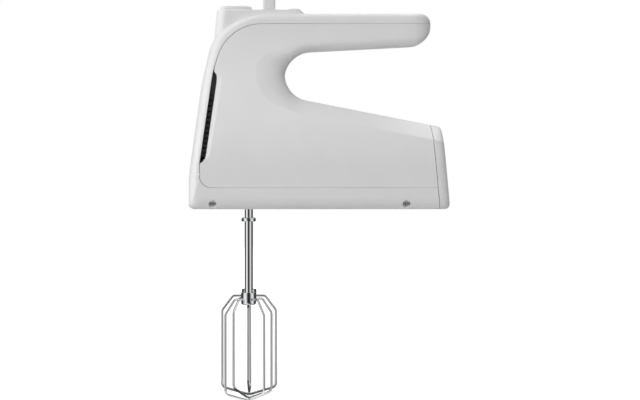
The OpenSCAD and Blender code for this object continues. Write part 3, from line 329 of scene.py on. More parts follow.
def inner_half(f, t):
    """Half of a band from the seam line or slot to the middle of the gap's lining."""
    length = np.linalg.norm(f.inner - f.near)
    r = min(in_reach(f.u) - t, length * 0.6)
    flat = length - r
    c = min(CHAMFER_W, flat / 4)
    scale = (in_reach(f.u) - t) / r
    step = CREASE_R / scale
    d = np.concatenate([
        [0, c * 0.5, c - 0.25, c + 0.25],
        c + (flat - step - c) * np.linspace(0.08, 1, 9),
        flat + step * np.array([-0.5, 0, 0.5, 1]),
        (length - r * (1 - np.cos(ROUND)))[::-1][3:]])
    d.sort()
    p = f.near + np.outer(d / length, f.inner - f.near)
    back = np.linalg.norm(f.outer - f.p)
    y = skin_y(p, f.u, back + d, (length - d) * scale, t)
    depth = CHAMFER_T * (1 - t / WALL) * f.open / VENT_W
    y = y - depth * np.interp(d, [0, c - 0.25, c + 0.25, c + 1], [1, 0.06, 0, 0])
    return np.concatenate([with_y(p, y), [[p[-1][0], SEAM / 2, p[-1][1]]]])


def whole(half):
    """A band from the left seam line over the middle to the right one."""
    return np.concatenate([half[:0:-1] * (1, -1, 1), half])


def end_row(t, y, z):
    """The level row that closes the skin at the handle's rear end."""
    return np.column_stack([np.full(len(y), HANDLE_END - t), y, np.full(len(y), z)])


def outer_rows(t, part):
    """The skin of the spine cover or the base, in bands across the body."""
    made, strip_row = skin_stations(t)
    if part == "base":
        return np.array([whole(outer_half(f, t)) for f in made[strip_row:]])
    rows = [whole(outer_half(f, t)) for f in made[:strip_row]]
    y = np.linspace(-1, 1, len(rows[0])) * (HALF_HANDLE - t) * (1 - HANDLE_END_DROP)
    return np.array([end_row(t, y, SEAM_H)] + rows)


def inner_rows(t):
    """The skin of the right side shell, in bands from the seam line to the gap's lining."""
    rows = [inner_half(f, t) for f in skin_stations(t)[0]]
    y = np.linspace((HALF_HANDLE - t) * (1 - HANDLE_END_DROP), SEAM / 2, len(rows[0]))
    return np.array([end_row(t, y, SEAM_H - SEAM)] + rows)


# ---- Meshes ----
EDGE_R = 0.3


def lengths(vectors):
    return np.maximum(np.linalg.norm(vectors, axis=1), 1e-6)[:, None]


def rounded_rim(sheet, back, r):
    """A grid with its border bent over an edge of radius r towards the grid behind it."""
    for axis in (0, 1):
        sheet, back = np.moveaxis(sheet, axis, 0), np.moveaxis(back, axis, 0)
        for turn in (1, -1):
            sheet, back = sheet[::turn], back[::turn]
            edge = sheet[0].copy()
            along, down = sheet[1] - edge, back[0] - edge
            start = edge + along * np.minimum(r / lengths(along), 0.9)
            stop = edge + down * r / lengths(down)
            bend = [quad(start, edge, stop, k) for k in (1, 0.67, 0.33, 0)]
            sheet = np.concatenate([bend, sheet[1:]])
            back = np.concatenate([np.repeat(back[:1], 4, axis=0), back[1:]])
            sheet, back = sheet[::turn], back[::turn]
        sheet, back = np.moveaxis(sheet, 0, axis), np.moveaxis(back, 0, axis)
    return sheet, back


def grid_faces(n, m, at, wrap=False):
    """Faces between n rows of m points that start at vertex number at."""
    i, j = np.meshgrid(np.arange(n - 1), np.arange(m if wrap else m - 1), indexing="ij")
    a = (at + i * m + j).ravel()
    b = (at + i * m + (j + 1) % m).ravel()
    return np.column_stack([a, b, b + m, a + m])


def closed_sheet(outside, inside, r=EDGE_R):
    """Vertices and faces of a closed shell between two grids, with rounded rims."""
    sheet, back = rounded_rim(outside, inside, r)
    n, m = sheet.shape[:2]
    k = n * m
    i, j = np.arange(n - 1) * m, np.arange(m - 1)
    ends = np.column_stack([i, i + m, i + m + k, i + k])
    sides = np.column_stack([j, j + 1, j + 1 + k, j + k])
    faces = np.concatenate([
        grid_faces(n, m, 0)[:, ::-1], grid_faces(n, m, k), ends[:, ::-1], ends + m - 1,
        sides, sides[:, ::-1] + (n - 1) * m])
    return np.concatenate([sheet.reshape(-1, 3), back.reshape(-1, 3)]), faces.tolist()


def ring_stack(rings, cap_low=True, cap_high=True):
    """Vertices and faces of rings of equal length joined in order, with capped ends."""
    rings = np.asarray(rings, float)
    n, m = rings.shape[:2]
    faces = grid_faces(n, m, 0, wrap=True).tolist()
    if cap_low:
        faces.append(list(range(m))[::-1])
    if cap_high:
        faces.append([(n - 1) * m + j for j in range(m)])
    return rings.reshape(-1, 3), faces


def level(plan, z):
    """A ring from an outline seen from above, at height z."""
    return np.column_stack([plan, np.full(len(plan), float(z))])


def prism(plan, z0, z1):
    return ring_stack([level(plan, z0), level(plan, z1)])


def lathe(profile, steps=64, cap=True):
    """Rings around the z axis from a profile of radius and height, lowest end first."""
    a = np.linspace(0, 2 * math.pi, steps, endpoint=False)
    rings = [level(np.column_stack([r * np.cos(a), r * np.sin(a)]), z) for r, z in profile]
    return ring_stack(rings, cap, cap)


def ring_lathe(profile, steps=64):
    """A closed loop profile of radius and height turned into a ring."""
    verts, faces = lathe(profile, steps, cap=False)
    last = (len(profile) - 1) * steps
    faces += [[last + j, last + (j + 1) % steps, (j + 1) % steps, j] for j in range(steps)]
    return verts, faces


def cylinder(r, z0, z1, steps=48):
    return lathe([(r, z0), (r, z1)], steps)


def cup(outside, inside):
    """A hollow solid from the rings of its two skins, open at the first rings."""
    verts, faces = ring_stack(outside, cap_low=False)
    more, lining = ring_stack(inside, cap_low=False)
    n, at = len(outside[0]), len(verts)
    faces += [[i + at for i in face][::-1] for face in lining]
    faces += [[j, at + j, at + (j + 1) % n, (j + 1) % n] for j in range(n)]
    return np.concatenate([verts, more]), faces


def round_edge(r, top, degrees=(22, 45, 67, 90)):
    """Pairs of inset and height that round an edge under the height top."""
    return [(r * (1 - math.cos(a)), top - r * (1 - math.sin(a))) for a in np.radians(degrees)]


def joined(*meshes):
    """Several meshes as one."""
    verts, faces, at = [], [], 0
    for v, f in meshes:
        verts.append(v)
        faces += [[i + at for i in face] for face in f]
        at += len(v)
    return np.concatenate(verts), faces


def turned(mesh, matrix):
    """A mesh turned and moved by a matrix."""
    verts, faces = mesh
    m = np.array(matrix)
    return np.asarray(verts) @ m[:3, :3].T + m[:3, 3], faces


def moved(mesh, x, y=0.0, z=0.0):
    return turned(mesh, Matrix.Translation((x, y, z)))


def spun(mesh, degrees, axis):
    return turned(mesh, Matrix.Rotation(math.radians(degrees), 4, axis))


def lying(mesh, x, z):
    """A mesh around the z axis laid along x, with its origin at x and height z."""
    return moved(spun(mesh, 90, "Y"), x, 0, z)


def flipped(mesh):
    """The mirror image across the mixer's middle plane."""
    return np.asarray(mesh[0]) * (1, -1, 1), [face[::-1] for face in mesh[1]]


def add_object(name, data, at=(0, 0, 0)):
    obj = bpy.data.objects.new(name, data)
    scene.collection.objects.link(obj)
    obj.location = at
    return obj


def mesh_object(name, mesh):
    """A Blender object from a mesh in the mixer's own millimetres."""
    verts, faces = mesh
    data = bpy.data.meshes.new(name)
    data.from_pydata(place(verts).tolist(), [], faces)
    bm = bmesh.new()
    bm.from_mesh(data)
    bmesh.ops.remove_doubles(bm, verts=bm.verts, dist=2e-6)
    bmesh.ops.dissolve_degenerate(bm, edges=bm.edges, dist=1e-6)
    bmesh.ops.recalc_face_normals(bm, faces=bm.faces)
    bm.to_mesh(data)
    bm.free()
    return add_object(name, data)


def remove(obj):
    old = obj.data
    bpy.data.objects.remove(obj)
    bpy.data.meshes.remove(old)


def taken(obj):
    """The mesh of an object in the mixer's own millimetres. The object is removed."""
    points = np.array([v.co for v in obj.data.vertices]) - (FRONT_X, 0, UNDERSIDE_Z)
    mesh = points / MM, [list(f.vertices) for f in obj.data.polygons]
    remove(obj)
    return mesh


def settle(obj):
    """Applies the object's modifiers to its mesh."""
    deps = bpy.context.evaluated_depsgraph_get()
    data = bpy.data.meshes.new_from_object(obj.evaluated_get(deps))
    obj.modifiers.clear()
    old, obj.data = obj.data, data
    bpy.data.meshes.remove(old)


def combine(obj, mesh, operation):
    """Adds a mesh to the object or cuts it out of it."""
    tool = mesh_object("tool", mesh)
    step = obj.modifiers.new("combine", "BOOLEAN")
    step.operation, step.solver, step.object = operation, "EXACT", tool
    settle(obj)
    remove(tool)


def soften(obj, width, angle, segments=2):
    """Rounds the object's sharp edges by a small radius."""
    step = obj.modifiers.new("soften", "BEVEL")
    step.width, step.segments = width * MM, segments
    step.limit_method, step.angle_limit = "ANGLE", math.radians(angle)
    settle(obj)


def finish_piece(obj, slot_name, body, nodes=(), smooth=40):
    """Shades a piece, gives it its material and ties it to the frame."""
    obj.data.shade_smooth()
    obj.data.set_sharp_from_angle(angle=math.radians(smooth))
    obj.data.materials.clear()
    obj.data.materials.append(MATERIALS[slot_name])
    step = obj.modifiers.new("even_normals", "WEIGHTED_NORMAL")
    step.keep_sharp, step.weight = True, 50
    settle(obj)
    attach(obj, body)
    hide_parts(*nodes)
    return obj


# ---- Materials ----
NOISE_LOW, NOISE_HIGH = 0.3, 0.7    # Most of a noise factor lies between these.
BAND_SCALE = math.pi / 62.8         # Scale of the wave texture, times the bands' pitch in metres.


def feed(socket, value):
    """Links an output to an input, or sets the input's value."""
    if isinstance(value, bpy.types.NodeSocket):
        socket.id_data.links.new(value, socket)
    else:
        socket.default_value = value


def node(tree, kind, *first, **named):
    """A shader node with its properties and its first and its named inputs set or linked."""
    made = tree.nodes.new("ShaderNode" + kind)
    inputs = list(zip(made.inputs, first))
    for key, value in named.items():
        if key in made.inputs.keys():
            inputs.append((made.inputs[key], value))
        else:
            setattr(made, key, value)
    for socket, value in inputs:
        feed(socket, value)
    return made


def after(socket, kind, *more, **named):
    """A shader node whose first input is linked to a socket."""
    return node(socket.id_data, kind, socket, *more, **named)


def noise(vector, scale, detail=2.0):
    return after(vector, "TexNoise", Scale=scale, Detail=detail).outputs["Fac"]


def map_range(value, start, end, low, high):
    """A number that goes from low to high while value goes from start to end."""
    return after(value, "MapRange", start, end, low, high).outputs["Result"]


def spread(factor, low, high):
    return map_range(factor, NOISE_LOW, NOISE_HIGH, low, high)


def ramp(factor, stops):
    """A colour by a factor, from pairs of position and colour."""
    made = after(factor, "ValToRGB")
    elements = made.color_ramp.elements
    for i, (position, colour) in enumerate(stops):
        stop = elements[i] if i < 2 else elements.new(position)
        stop.position, stop.color = position, (*colour, 1)
    return made.outputs["Color"]


def tint(factor, dark, light):
    return ramp(factor, [(NOISE_LOW, dark), (NOISE_HIGH, light)])


def shades(colour, amount):
    return ([c * (1 - amount) for c in colour], [min(c * (1 + amount), 1) for c in colour])


def new_material(name, scale=(1, 1, 1)):
    """A material and the object's coordinates, scaled."""
    mat = bpy.data.materials.new(name)
    mat.use_nodes = True
    coords = node(mat.node_tree, "TexCoord").outputs["Object"]
    return mat, after(coords, "Mapping", Scale=scale).outputs["Vector"]


def surface(mat, colour, rough, height, depth_mm, metallic=0.0):
    """Feeds a material's colour and roughness, and bumps of a depth in millimetres."""
    bump = node(mat.node_tree, "Bump", Strength=1.0, Distance=depth_mm * MM, Height=height)
    sockets = mat.node_tree.nodes["Principled BSDF"].inputs
    for key, value in (("Base Color", colour), ("Roughness", rough), ("Metallic", metallic),
                       ("Normal", bump.outputs["Normal"])):
        feed(sockets[key], value)
    return mat


def moulded(name, colour, rough, variation=0.012, grain_mm=0.35, grain_depth=0.004):
    """Moulded plastic: fine spark-eroded grain, slow change of tone and gloss."""
    mat, vector = new_material(name)
    return surface(mat, tint(noise(vector, 45.0, 3.0), *shades(colour, variation)),
                   spread(noise(vector, 160.0, 4.0), rough * 0.9, rough * 1.12),
                   noise(vector, 1 / (grain_mm * MM)), grain_depth)


def metal(name, colour, rough, stretch=(1, 1, 1), grain_mm=0.3, grain_depth=0.002, variation=0.05):
    """Metal with tool marks that run along the axis where stretch is small."""
    mat, vector = new_material(name, stretch)
    marks = noise(vector, 1 / (grain_mm * MM), 3.0)
    return surface(mat, tint(noise(vector, 60.0, 3.0), *shades(colour, variation)),
                   spread(marks, rough * 0.75, rough * 1.3), marks, grain_depth, 1.0)


def banded(name, dark, light, pitch_mm, axis, rough, metallic, depth_mm):
    """Stacked sheets or wound wire: fine bands across an axis."""
    mat, vector = new_material(name)
    wave = after(vector, "TexWave", Scale=BAND_SCALE / (pitch_mm * MM), Distortion=0.6,
                 bands_direction=axis, **{"Detail Scale": 2.0}).outputs["Fac"]
    gloss = spread(noise(vector, 300.0), rough * 0.85, rough * 1.15)
    return surface(mat, tint(wave, dark, light), gloss, wave, depth_mm, metallic)


def circuit_green(name):
    """Lacquered board with paler copper tracks under the lacquer."""
    mat, vector = new_material(name, (1, 1, 0.2))
    cells = after(vector, "TexVoronoi", Scale=320.0, feature="DISTANCE_TO_EDGE")
    tracks = cells.outputs["Distance"]
    green = ramp(tracks, [(0.05, (0.10, 0.33, 0.14)), (0.12, (0.02, 0.14, 0.06))])
    return surface(mat, green, spread(noise(vector, 200.0), 0.25, 0.4), tracks, 0.03)


# Name, function, and the arguments that follow the name.
MATERIALS = {name: make(name, *look) for name, make, *look in (
    ("shell_white", moulded, (0.80, 0.793, 0.798), 0.36),
    ("control_white", moulded, (0.785, 0.778, 0.783), 0.34, 0.012, 0.3),
    ("vent_dark", moulded, (0.018, 0.018, 0.019), 0.5, 0.2),
    ("inner_ivory", moulded, (0.70, 0.66, 0.52), 0.55, 0.03),
    ("switch_black", moulded, (0.015, 0.015, 0.017), 0.45, 0.15),
    ("capacitor_blue", moulded, (0.02, 0.06, 0.30), 0.3, 0.08),
    ("brush_carbon", moulded, (0.02, 0.02, 0.021), 0.6, 0.25, 0.35, 0.01),
    ("gear_nylon", moulded, (0.78, 0.76, 0.68), 0.42, 0.03),
    ("gland_rubber", moulded, (0.035, 0.035, 0.037), 0.72, 0.15, 0.5, 0.012),
    ("steel", metal, (0.60, 0.60, 0.61), 0.38, (0.1, 1, 1)),
    ("spring_steel", metal, (0.46, 0.46, 0.48), 0.3),
    ("contact_brass", metal, (0.70, 0.48, 0.17), 0.3),
    ("bush_bronze", metal, (0.48, 0.29, 0.11), 0.42, (1, 1, 1), 0.15, 0.01),
    ("beater_chrome", metal, (0.80, 0.81, 0.82), 0.045, (1, 1, 0.15), 0.3, 0.0002, 0.02),
    ("lamination_steel", banded, (0.10, 0.105, 0.12), (0.28, 0.29, 0.31), 0.5, "X",
     0.45, 0.9, 0.02),
    ("winding_copper", banded, (0.20, 0.06, 0.02), (0.55, 0.22, 0.09), 0.35, "DIAGONAL",
     0.32, 0.8, 0.06),
    ("board_green", circuit_green))}

for row in frame["record"]["subparts"]:
    for holder in frame["nodes"][row["node"]].material_slots:
        holder.material = MATERIALS[row["material_slot"]]


# ---- Housing shells ----
def shell_piece(name, mesh, nodes, cuts=(), adds=()):
    """A white piece of the housing, with meshes added to it and then others cut out."""
    obj = mesh_object(name, mesh)
    for extra in adds:
        combine(obj, extra, "UNION")
    for cut in cuts:
        combine(obj, cut, "DIFFERENCE")
    return finish_piece(obj, "shell_white", "housing", nodes, 50)


side = closed_sheet(inner_rows(0), inner_rows(WALL))
shell_piece("side_shell_right", side, ["right_shell"])
shell_piece("side_shell_left", flipped(side), ["left_shell"])

# ---- Control head, its openings and the spine cover under it ----
HEAD_FRONT, HEAD_FOOT, HEAD_LEAN = 18.4, HANDLE_TOP - 21.5, 0.09
HEAD_W, HEAD_R = 32.0, 8.0
HEAD_REAR, HEAD_SLOPE = 79.0, 3.3 / 7.0
HEAD_TAIL = 90.5
HEAD_EDGE = 1.1
FILLET_R, FILLET_SHARE, FILLET_HEM = 5.0, 0.75, 1.2
HOLLOW_GAP, HOLLOW_WALL = 1.5, 1.6
CONTROL_GAP = 0.35
EJECT_FRONT_R, TURBO_R, STEM_R = 5.5, 5.0, 0.4
SLIDER_TRAVEL = 15.0
eject_low, eject_high = span("eject_button")
turbo_low, turbo_high = span("turbo_button")
slider_low, slider_high = span("speed_slider")
SLIDER_X, SLIDER_Y = (slider_low.x + slider_high.x) / 2, (slider_low.y + slider_high.y) / 2
STEM_X, STEM_Y = 2.0, 2.5


def arc(c, r, a0, a1, n):
    a = np.radians(np.linspace(a0, a1, n + 1))
    return np.column_stack([c[0] + r * np.cos(a), c[1] + r * np.sin(a)])


def eject_plan(grow):
    """Outline of the eject button seen from above, moved outwards by grow."""
    half = eject_high.y
    r, x, y = EJECT_FRONT_R + grow, eject_low.x + EJECT_FRONT_R, half - EJECT_FRONT_R
    return np.concatenate([arc((x, y), r, 90, 180, 12), arc((x, -y), r, 180, 270, 12),
                           arc((eject_high.x - half, 0), half + grow, -90, 90, 36)])


def box_plan(x0, x1, half, corner, grow, steps=8):
    """A rounded rectangle seen from above, moved outwards by grow."""
    r, y = max(corner + grow, 0.05), half - corner
    a, b = x0 + corner, x1 - corner
    return np.concatenate([arc((b, y), r, 0, 90, steps), arc((a, y), r, 90, 180, steps),
                           arc((a, -y), r, 180, 270, steps), arc((b, -y), r, 270, 360, steps)])


def turbo_plan(grow, steps=8):
    return box_plan(turbo_low.x, turbo_high.x, turbo_high.y, TURBO_R, grow, steps)


def head_top(x):
    return HEAD_H - HEAD_SLOPE * np.maximum(np.asarray(x, float) - HEAD_REAR, 0)


def head_plan(z, inset):
    """Outline of the head at height z: points and outward directions, from the right rear on."""
    x0 = HEAD_FRONT + HEAD_LEAN * (z - HEAD_FOOT)
    half, r = HEAD_W / 2, HEAD_R
    xs = np.concatenate([np.linspace(HEAD_TAIL, HEAD_REAR, 8),
                         np.linspace(HEAD_REAR, x0 + r, 24)[1:-1]])
    points = [((x, half), (0.0, 1.0)) for x in xs]
    for a in np.radians(np.linspace(90, 180, 15)):
        d = (math.cos(a), math.sin(a))
        points.append(((x0 + r + r * d[0], half - r + r * d[1]), d))
    points += [((x0, y), (-1.0, 0.0)) for y in np.linspace(half - r, 0, 7)[1:]]
    points += [((p[0], -p[1]), (d[0], -d[1])) for p, d in points[-2::-1]]
    p, d = (np.array([q[i] for q in points]) for i in (0, 1))
    return p - d * inset, d


def head_ring(heights):
    """Outline of the head with a height of its own for each point."""
    return np.array([[*head_plan(z, 0)[0][i], z] for i, z in enumerate(heights)])


spine_outside = outer_rows(0, "spine")
skin = BVHTree.FromPolygons(spine_outside.reshape(-1, 3).tolist(),
                            grid_faces(*spine_outside.shape[:2], 0).tolist())


def head_skin():
    """Rings of the head: a soft fillet rising from the ribbon, the wall and the top edge."""
    plan, out = head_plan(HEAD_H, 0)
    foot = np.array([skin.ray_cast(Vector((x, y, 400)), Vector((0, 0, -1)))[0].z
                     for x, y in head_plan(HANDLE_TOP - 12, 0)[0]])
    top = head_top(plan[:, 0])
    fillet = np.clip((top - foot) * FILLET_SHARE, 0.15, FILLET_R)
    drop = np.minimum(fillet, np.maximum(foot - SEAM_H - 1.2, EDGE_R))
    hem = head_ring(foot - drop)
    for p, d in zip(hem, out):
        # A level line from inside the ribbon's skin meets it where the fillet starts.
        found = skin.ray_cast(Vector((p[0] - 6 * d[0], p[1] - 6 * d[1], p[2])), Vector((*d, 0)))[0]
        if found is not None:
            p[:2] = found.x, found.y
    middle, start = head_ring(foot), head_ring(foot + fillet)
    under = hem.copy()
    under[:, :2] -= out * FILLET_HEM
    rings = [under] + [quad(hem, middle, start, k) for k in np.linspace(0, 1, 9)]
    edge = np.minimum(HEAD_EDGE, (top - start[:, 2]) * 0.6)
    rings += [head_ring(start[:, 2] + (top - edge - start[:, 2]) * k) for k in (0.5, 1.0)]
    for inset, below in round_edge(1, 0, (22.5, 45, 67.5, 90)):
        rings.append(np.column_stack([plan - out * (edge * inset)[:, None], top + edge * below]))
    return np.array(rings)


def head_mesh():
    """The head as a closed shell, whose lid bends where the tail slopes down."""
    outside = head_skin()
    plan, out = head_plan(HEAD_H, 0)
    wall = plan - out * WALL
    lining = [np.column_stack([wall, z]) for z in (head_top(plan[:, 0]) - WALL, outside[0][:, 2])]
    verts, faces = ring_stack(np.concatenate([lining, outside]), cap_low=False, cap_high=False)
    right, left = np.flatnonzero(np.abs(outside[-1][:, 0] - HEAD_REAR) < 1e-6)
    for at in (0, len(verts) - len(plan)):
        lid = list(range(at, at + len(plan)))
        faces += [lid[right:left + 1], lid[left:] + lid[:right + 1]]
    return verts, faces


stem_travel = box_plan(SLIDER_X - STEM_X, SLIDER_X + STEM_X, SLIDER_TRAVEL / 2 + STEM_Y, STEM_R,
                       CONTROL_GAP)
openings = [prism(plan, HEAD_FOOT, HEAD_H + 12)
            for plan in (eject_plan(CONTROL_GAP), turbo_plan(CONTROL_GAP), stem_travel)]
head = mesh_object("control_head", head_mesh())
for cut in openings:
    combine(head, cut, "DIFFERENCE")
soften(head, EDGE_R, 50)
finish_piece(head, "shell_white", "housing")

# The hollow under the head ends before its sloping tail meets the ribbon.
hollow_end = HEAD_REAR + (HEAD_H - HANDLE_TOP) / HEAD_SLOPE - HOLLOW_GAP
hollow = head_plan(HEAD_H, HOLLOW_WALL)[0]
hollow = hollow[hollow[:, 0] < hollow_end - 0.3]
hollow = np.concatenate([[(hollow_end, hollow[0][1])], hollow, [(hollow_end, hollow[-1][1])]])
shell_piece("spine_cover_skin", closed_sheet(spine_outside, outer_rows(WALL, "spine")),
            ["spine_cover"], [prism(hollow, HEAD_FOOT - 25, HEAD_H + 5), openings[1]])

# ---- Base shell ----
SPINDLE_X, SPINDLE_Y = 45.0, 21.0
SOCKET_R, SOCKET_WALL = 6.4, 2.0
SCREW_X, SCREW_H, SCREW_INSET = (18.1, BODY_L - 33.5), 3.4, 1.1
SCREW_HOLE_R, WELL_R, WELL_L, BOSS_L = 1.5, 3.0, 3.5, 8.0
CORD_H, CLAMP_X, CLAMP_Y, CLAMP_POST_R = 30.0, BODY_L - 23, 11.0, 3.5
AIR_X, AIR_PITCH, AIR_SLOTS = 104.0, 7.0, 7
AIR_W, AIR_L, AIR_R = 3.0, 26.0, 1.45


def screw_place(x, side):
    """From a screw's own axis to its oblique place along the base's lower edge."""
    return Matrix.Translation((x, side * (HALF_BODY - SCREW_INSET), SCREW_H)) @ Matrix.Rotation(
        side * math.radians(45), 4, "X")


screw_places = [screw_place(x, s) for x in SCREW_X for s in (-1, 1)]
adds, cuts = [], []
for s in (-1, 1):
    adds.append(moved(cylinder(SOCKET_R + SOCKET_WALL, 1, 5), SPINDLE_X, s * SPINDLE_Y))
    cuts.append(moved(cylinder(SOCKET_R, -1, 7, 64), SPINDLE_X, s * SPINDLE_Y))
    post = cylinder(CLAMP_POST_R, WALL - 0.5, CORD_H - 4, 32)
    adds.append(moved(post, CLAMP_X, s * CLAMP_Y))
for at in screw_places:
    adds.append(turned(cylinder(WELL_R + SCREW_HOLE_R, 2.4, BOSS_L, 32), at))
    cuts.append(turned(cylinder(WELL_R, -8, WELL_L), at))
    cuts.append(turned(cylinder(SCREW_HOLE_R, WELL_L - 1, 20, 24), at))
for x in AIR_X + AIR_PITCH * np.arange(AIR_SLOTS):
    cuts.append(prism(box_plan(x, x + AIR_W, AIR_L / 2, AIR_R, 0), -1, WALL + 1))
shell_piece("base_skin", closed_sheet(outer_rows(0, "base"), outer_rows(WALL, "base")),
            ["base_shell"], cuts, adds)

# ---- Rear cap ----
CAP_HOLE_R = 7.0
CAP_DEGREES = (0, 4, 10, 17, 24, 31, 38, 45, 52, 59, 66, 73, 79, 83, 86)


def cap_ring(a, t):
    """A ring round the rear cap, a quarter turn by the angle a from seam to rear face."""
    up = lean_up(REAR_SEAM_X)
    x = REAR_SEAM_X + CAP_L - t - (CAP_L - t) * (1 - math.sin(a)) + (SEAM if a == 0 else 0)
    p, line = np.array([x, BASE_H]), outline(t)
    f = SimpleNamespace(p=p, near=p, u=6.0, open=0.0,
                        outer=p - up * hit(p, -up, line), inner=p + up * hit(p, up, line))
    half = np.concatenate([outer_half(f, t), inner_half(f, t)[1:]])
    return np.concatenate([half, half[:0:-1] * (1, -1, 1)])


cap = cup(*([cap_ring(a, t) for a in np.radians(CAP_DEGREES)] for t in (0, WALL)))
shell_piece("rear_cap_skin", cap, ["rear_cap"],
            [lying(cylinder(CAP_HOLE_R, -15, 5, 64), BODY_L, CORD_H)])

# ---- Vent grilles ----
LAP, VENT_INSET, VENT_T = 2.2, WALL + 0.15, 1.4
# Margins below and above the slats, their tilt, and the gap between two by their pitch.
SLAT_FOOT, SLAT_TOP, SLAT_TILT, SLAT_GAP = 6, 4, -42, 0.4


def vent_rows(t):
    """The grille's skin, as wide as the slot and its laps, moved inwards by t."""
    rows = []
    for f in skin_stations(0)[0]:
        if 1.9 < f.u < 2.98:
            p0 = f.p + unit(f.outer - f.p) * LAP
            p1 = f.near + unit(f.inner - f.near) * LAP
            p = p0 + np.outer(np.linspace(0, 1, 9), p1 - p0)
            do, di = (np.linalg.norm(p - q, axis=1) for q in (f.outer, f.inner))
            rows.append(with_y(p, skin_y(p, f.u, do, di, t)))
    return np.array(rows)


grille = closed_sheet(vent_rows(VENT_INSET), vent_rows(VENT_INSET + VENT_T), 0.1)
grille = mesh_object("grille", grille)
rise = VENT_TOP - VENT_FOOT
pitch = (rise[1] - SLAT_FOOT - SLAT_TOP) / VENT_SLATS
gap = pitch * SLAT_GAP / 2
for z in VENT_FOOT[1] + SLAT_FOOT + pitch * (np.arange(VENT_SLATS) + 0.5):
    x = VENT_FOOT[0] + rise[0] * (z - VENT_FOOT[1]) / rise[1]
    cut = prism(box_plan(x + 0.4, x + slot(z), 12, 0.2, 0), -gap, gap)
    combine(grille, moved(spun(cut, SLAT_TILT, "X"), 0, HALF_BODY - 6, z), "DIFFERENCE")
grille = taken(grille)
for word, mesh in (("right", grille), ("left", flipped(grille))):
    finish_piece(mesh_object(f"grille_{word}", mesh), "vent_dark", "housing",
                 [f"vent_grille_{word}"])

# ---- Controls ----
BUTTON_WALL, BUTTON_EDGE, BUTTON_ROOF = 1.6, 1.1, 3.2
DISH, DISH_REACH = 0.45, 5.3
ROD_X, ROD_HOLE_R, ROD_BOSS_R, ROD_BOSS_L = 40.0, 3.02, 5.0, 7.1
TURBO_TOP, TURBO_L, TURBO_H = HEAD_H + 1.3, turbo_high.x - turbo_low.x, 7
# Domed top of the turbo button with a slanted rear end: distance behind its front, height.
TURBO_LINE = [(-1, -1.1), (0, -0.85), (2, -0.45), (4, -0.2), (6, -0.06), (8, 0), (9, 0),
              (10.6, -0.2), (TURBO_L - 3.4, -0.6), (TURBO_L + 1, -4.4), (TURBO_L + 1, 5), (-1, 5)]
KNOB_R, KNOB_EDGE = 1.5, 0.7
CARRIAGE_Z, CARRIAGE_HALF = HEAD_H - 5.7, 4.5


def hollow_cap(plan_of, low, top, wall):
    """A hollow button with a softly rounded edge and a dish in its top."""
    rings = [(0, low), (0, top - BUTTON_EDGE)] + round_edge(BUTTON_EDGE, top)
    for k in np.linspace(0.2, 1, 5):
        rings.append((BUTTON_EDGE + (DISH_REACH - BUTTON_EDGE) * k,
                      top - DISH * math.sin(k * math.pi / 2)))
    return cup([level(plan_of(-inset), z) for inset, z in rings],
               [level(plan_of(-wall), z) for z in (low, top - wall)])


def knob(low, top):
    """The slider's knob, with a shallow hollow for the thumb."""
    half = (slider_high.y - slider_low.y) / 2
    rings = [(0.25, low), (0, low + 0.25), (0, top - KNOB_EDGE)] + round_edge(KNOB_EDGE, top)
    made = []
    for inset, z in rings + [(1.3, top - 0.03), (2.2, top - 0.3), (3.4, top - 0.5)]:
        d, corner = max(inset - KNOB_R, 0), max(KNOB_R - inset, 0.05)
        plan = box_plan(slider_low.x + d, slider_high.x - d, half - d, corner, 0, 10)
        made.append(level(plan + (0, SLIDER_Y), z))
    return ring_stack(made)


def block(x, y, half_x, half_y, z0, z1):
    corners = [(half_x, -half_y), (half_x, half_y), (-half_x, half_y), (-half_x, -half_y)]
    return prism(np.array(corners) + (x, y), z0, z1)


cap = hollow_cap(eject_plan, eject_low.z, eject_high.z, BUTTON_WALL)
finish_piece(mesh_object("eject_cap", cap), "control_white", "eject", ["eject_button"], 50)
boss = [(ROD_BOSS_R, -ROD_BOSS_L), (ROD_BOSS_R, 0), (ROD_HOLE_R, 0), (ROD_HOLE_R, -ROD_BOSS_L)]
boss = moved(ring_lathe(boss, 32), ROD_X, 0, eject_high.z - 1.4)
finish_piece(mesh_object("eject_boss", boss), "control_white", "eject")

turbo_foot = TURBO_TOP - TURBO_H
turbo = mesh_object("turbo_cap", prism(turbo_plan(0, 12), turbo_foot, TURBO_TOP + 2))
above = [[(turbo_low.x + x, y, TURBO_TOP + z) for x, z in TURBO_LINE] for y in (-12, 12)]
combine(turbo, ring_stack(above), "DIFFERENCE")
soften(turbo, 0.9, 26, 5)
inside = prism(turbo_plan(-BUTTON_WALL), turbo_foot - 1, TURBO_TOP - BUTTON_ROOF)
combine(turbo, inside, "DIFFERENCE")
peg = cylinder(2, turbo_low.z, TURBO_TOP - 3, 32)
combine(turbo, moved(peg, turbo_low.x + TURBO_L / 2), "UNION")
finish_piece(turbo, "control_white", "turbo", ["turbo_button"])

knob_low, under_lid = HEAD_H + CONTROL_GAP, HEAD_H - WALL
slider = joined(knob(knob_low, slider_high.z),
                block(SLIDER_X, SLIDER_Y, STEM_X, STEM_Y, under_lid - 1, knob_low + 0.3),
                block(SLIDER_X, SLIDER_Y, CARRIAGE_HALF, CARRIAGE_HALF, CARRIAGE_Z,
                      under_lid - CONTROL_GAP))
finish_piece(mesh_object("slider_knob", slider), "control_white", "slider", ["speed_slider"])


# ---- Return springs, made at the length of their CAD nodes ----
def sweep(path, across, r, sides):
    """A round wire along a path, with a direction across the path at each point."""
    tangent = np.gradient(path, axis=0)
    tangent /= lengths(tangent)
    a = np.linspace(0, 2 * math.pi, sides, endpoint=False)
    return ring_stack([p + r * (np.outer(np.cos(a), w) + np.outer(np.sin(a), np.cross(d, w)))
                       for p, w, d in zip(path, across, tangent)])


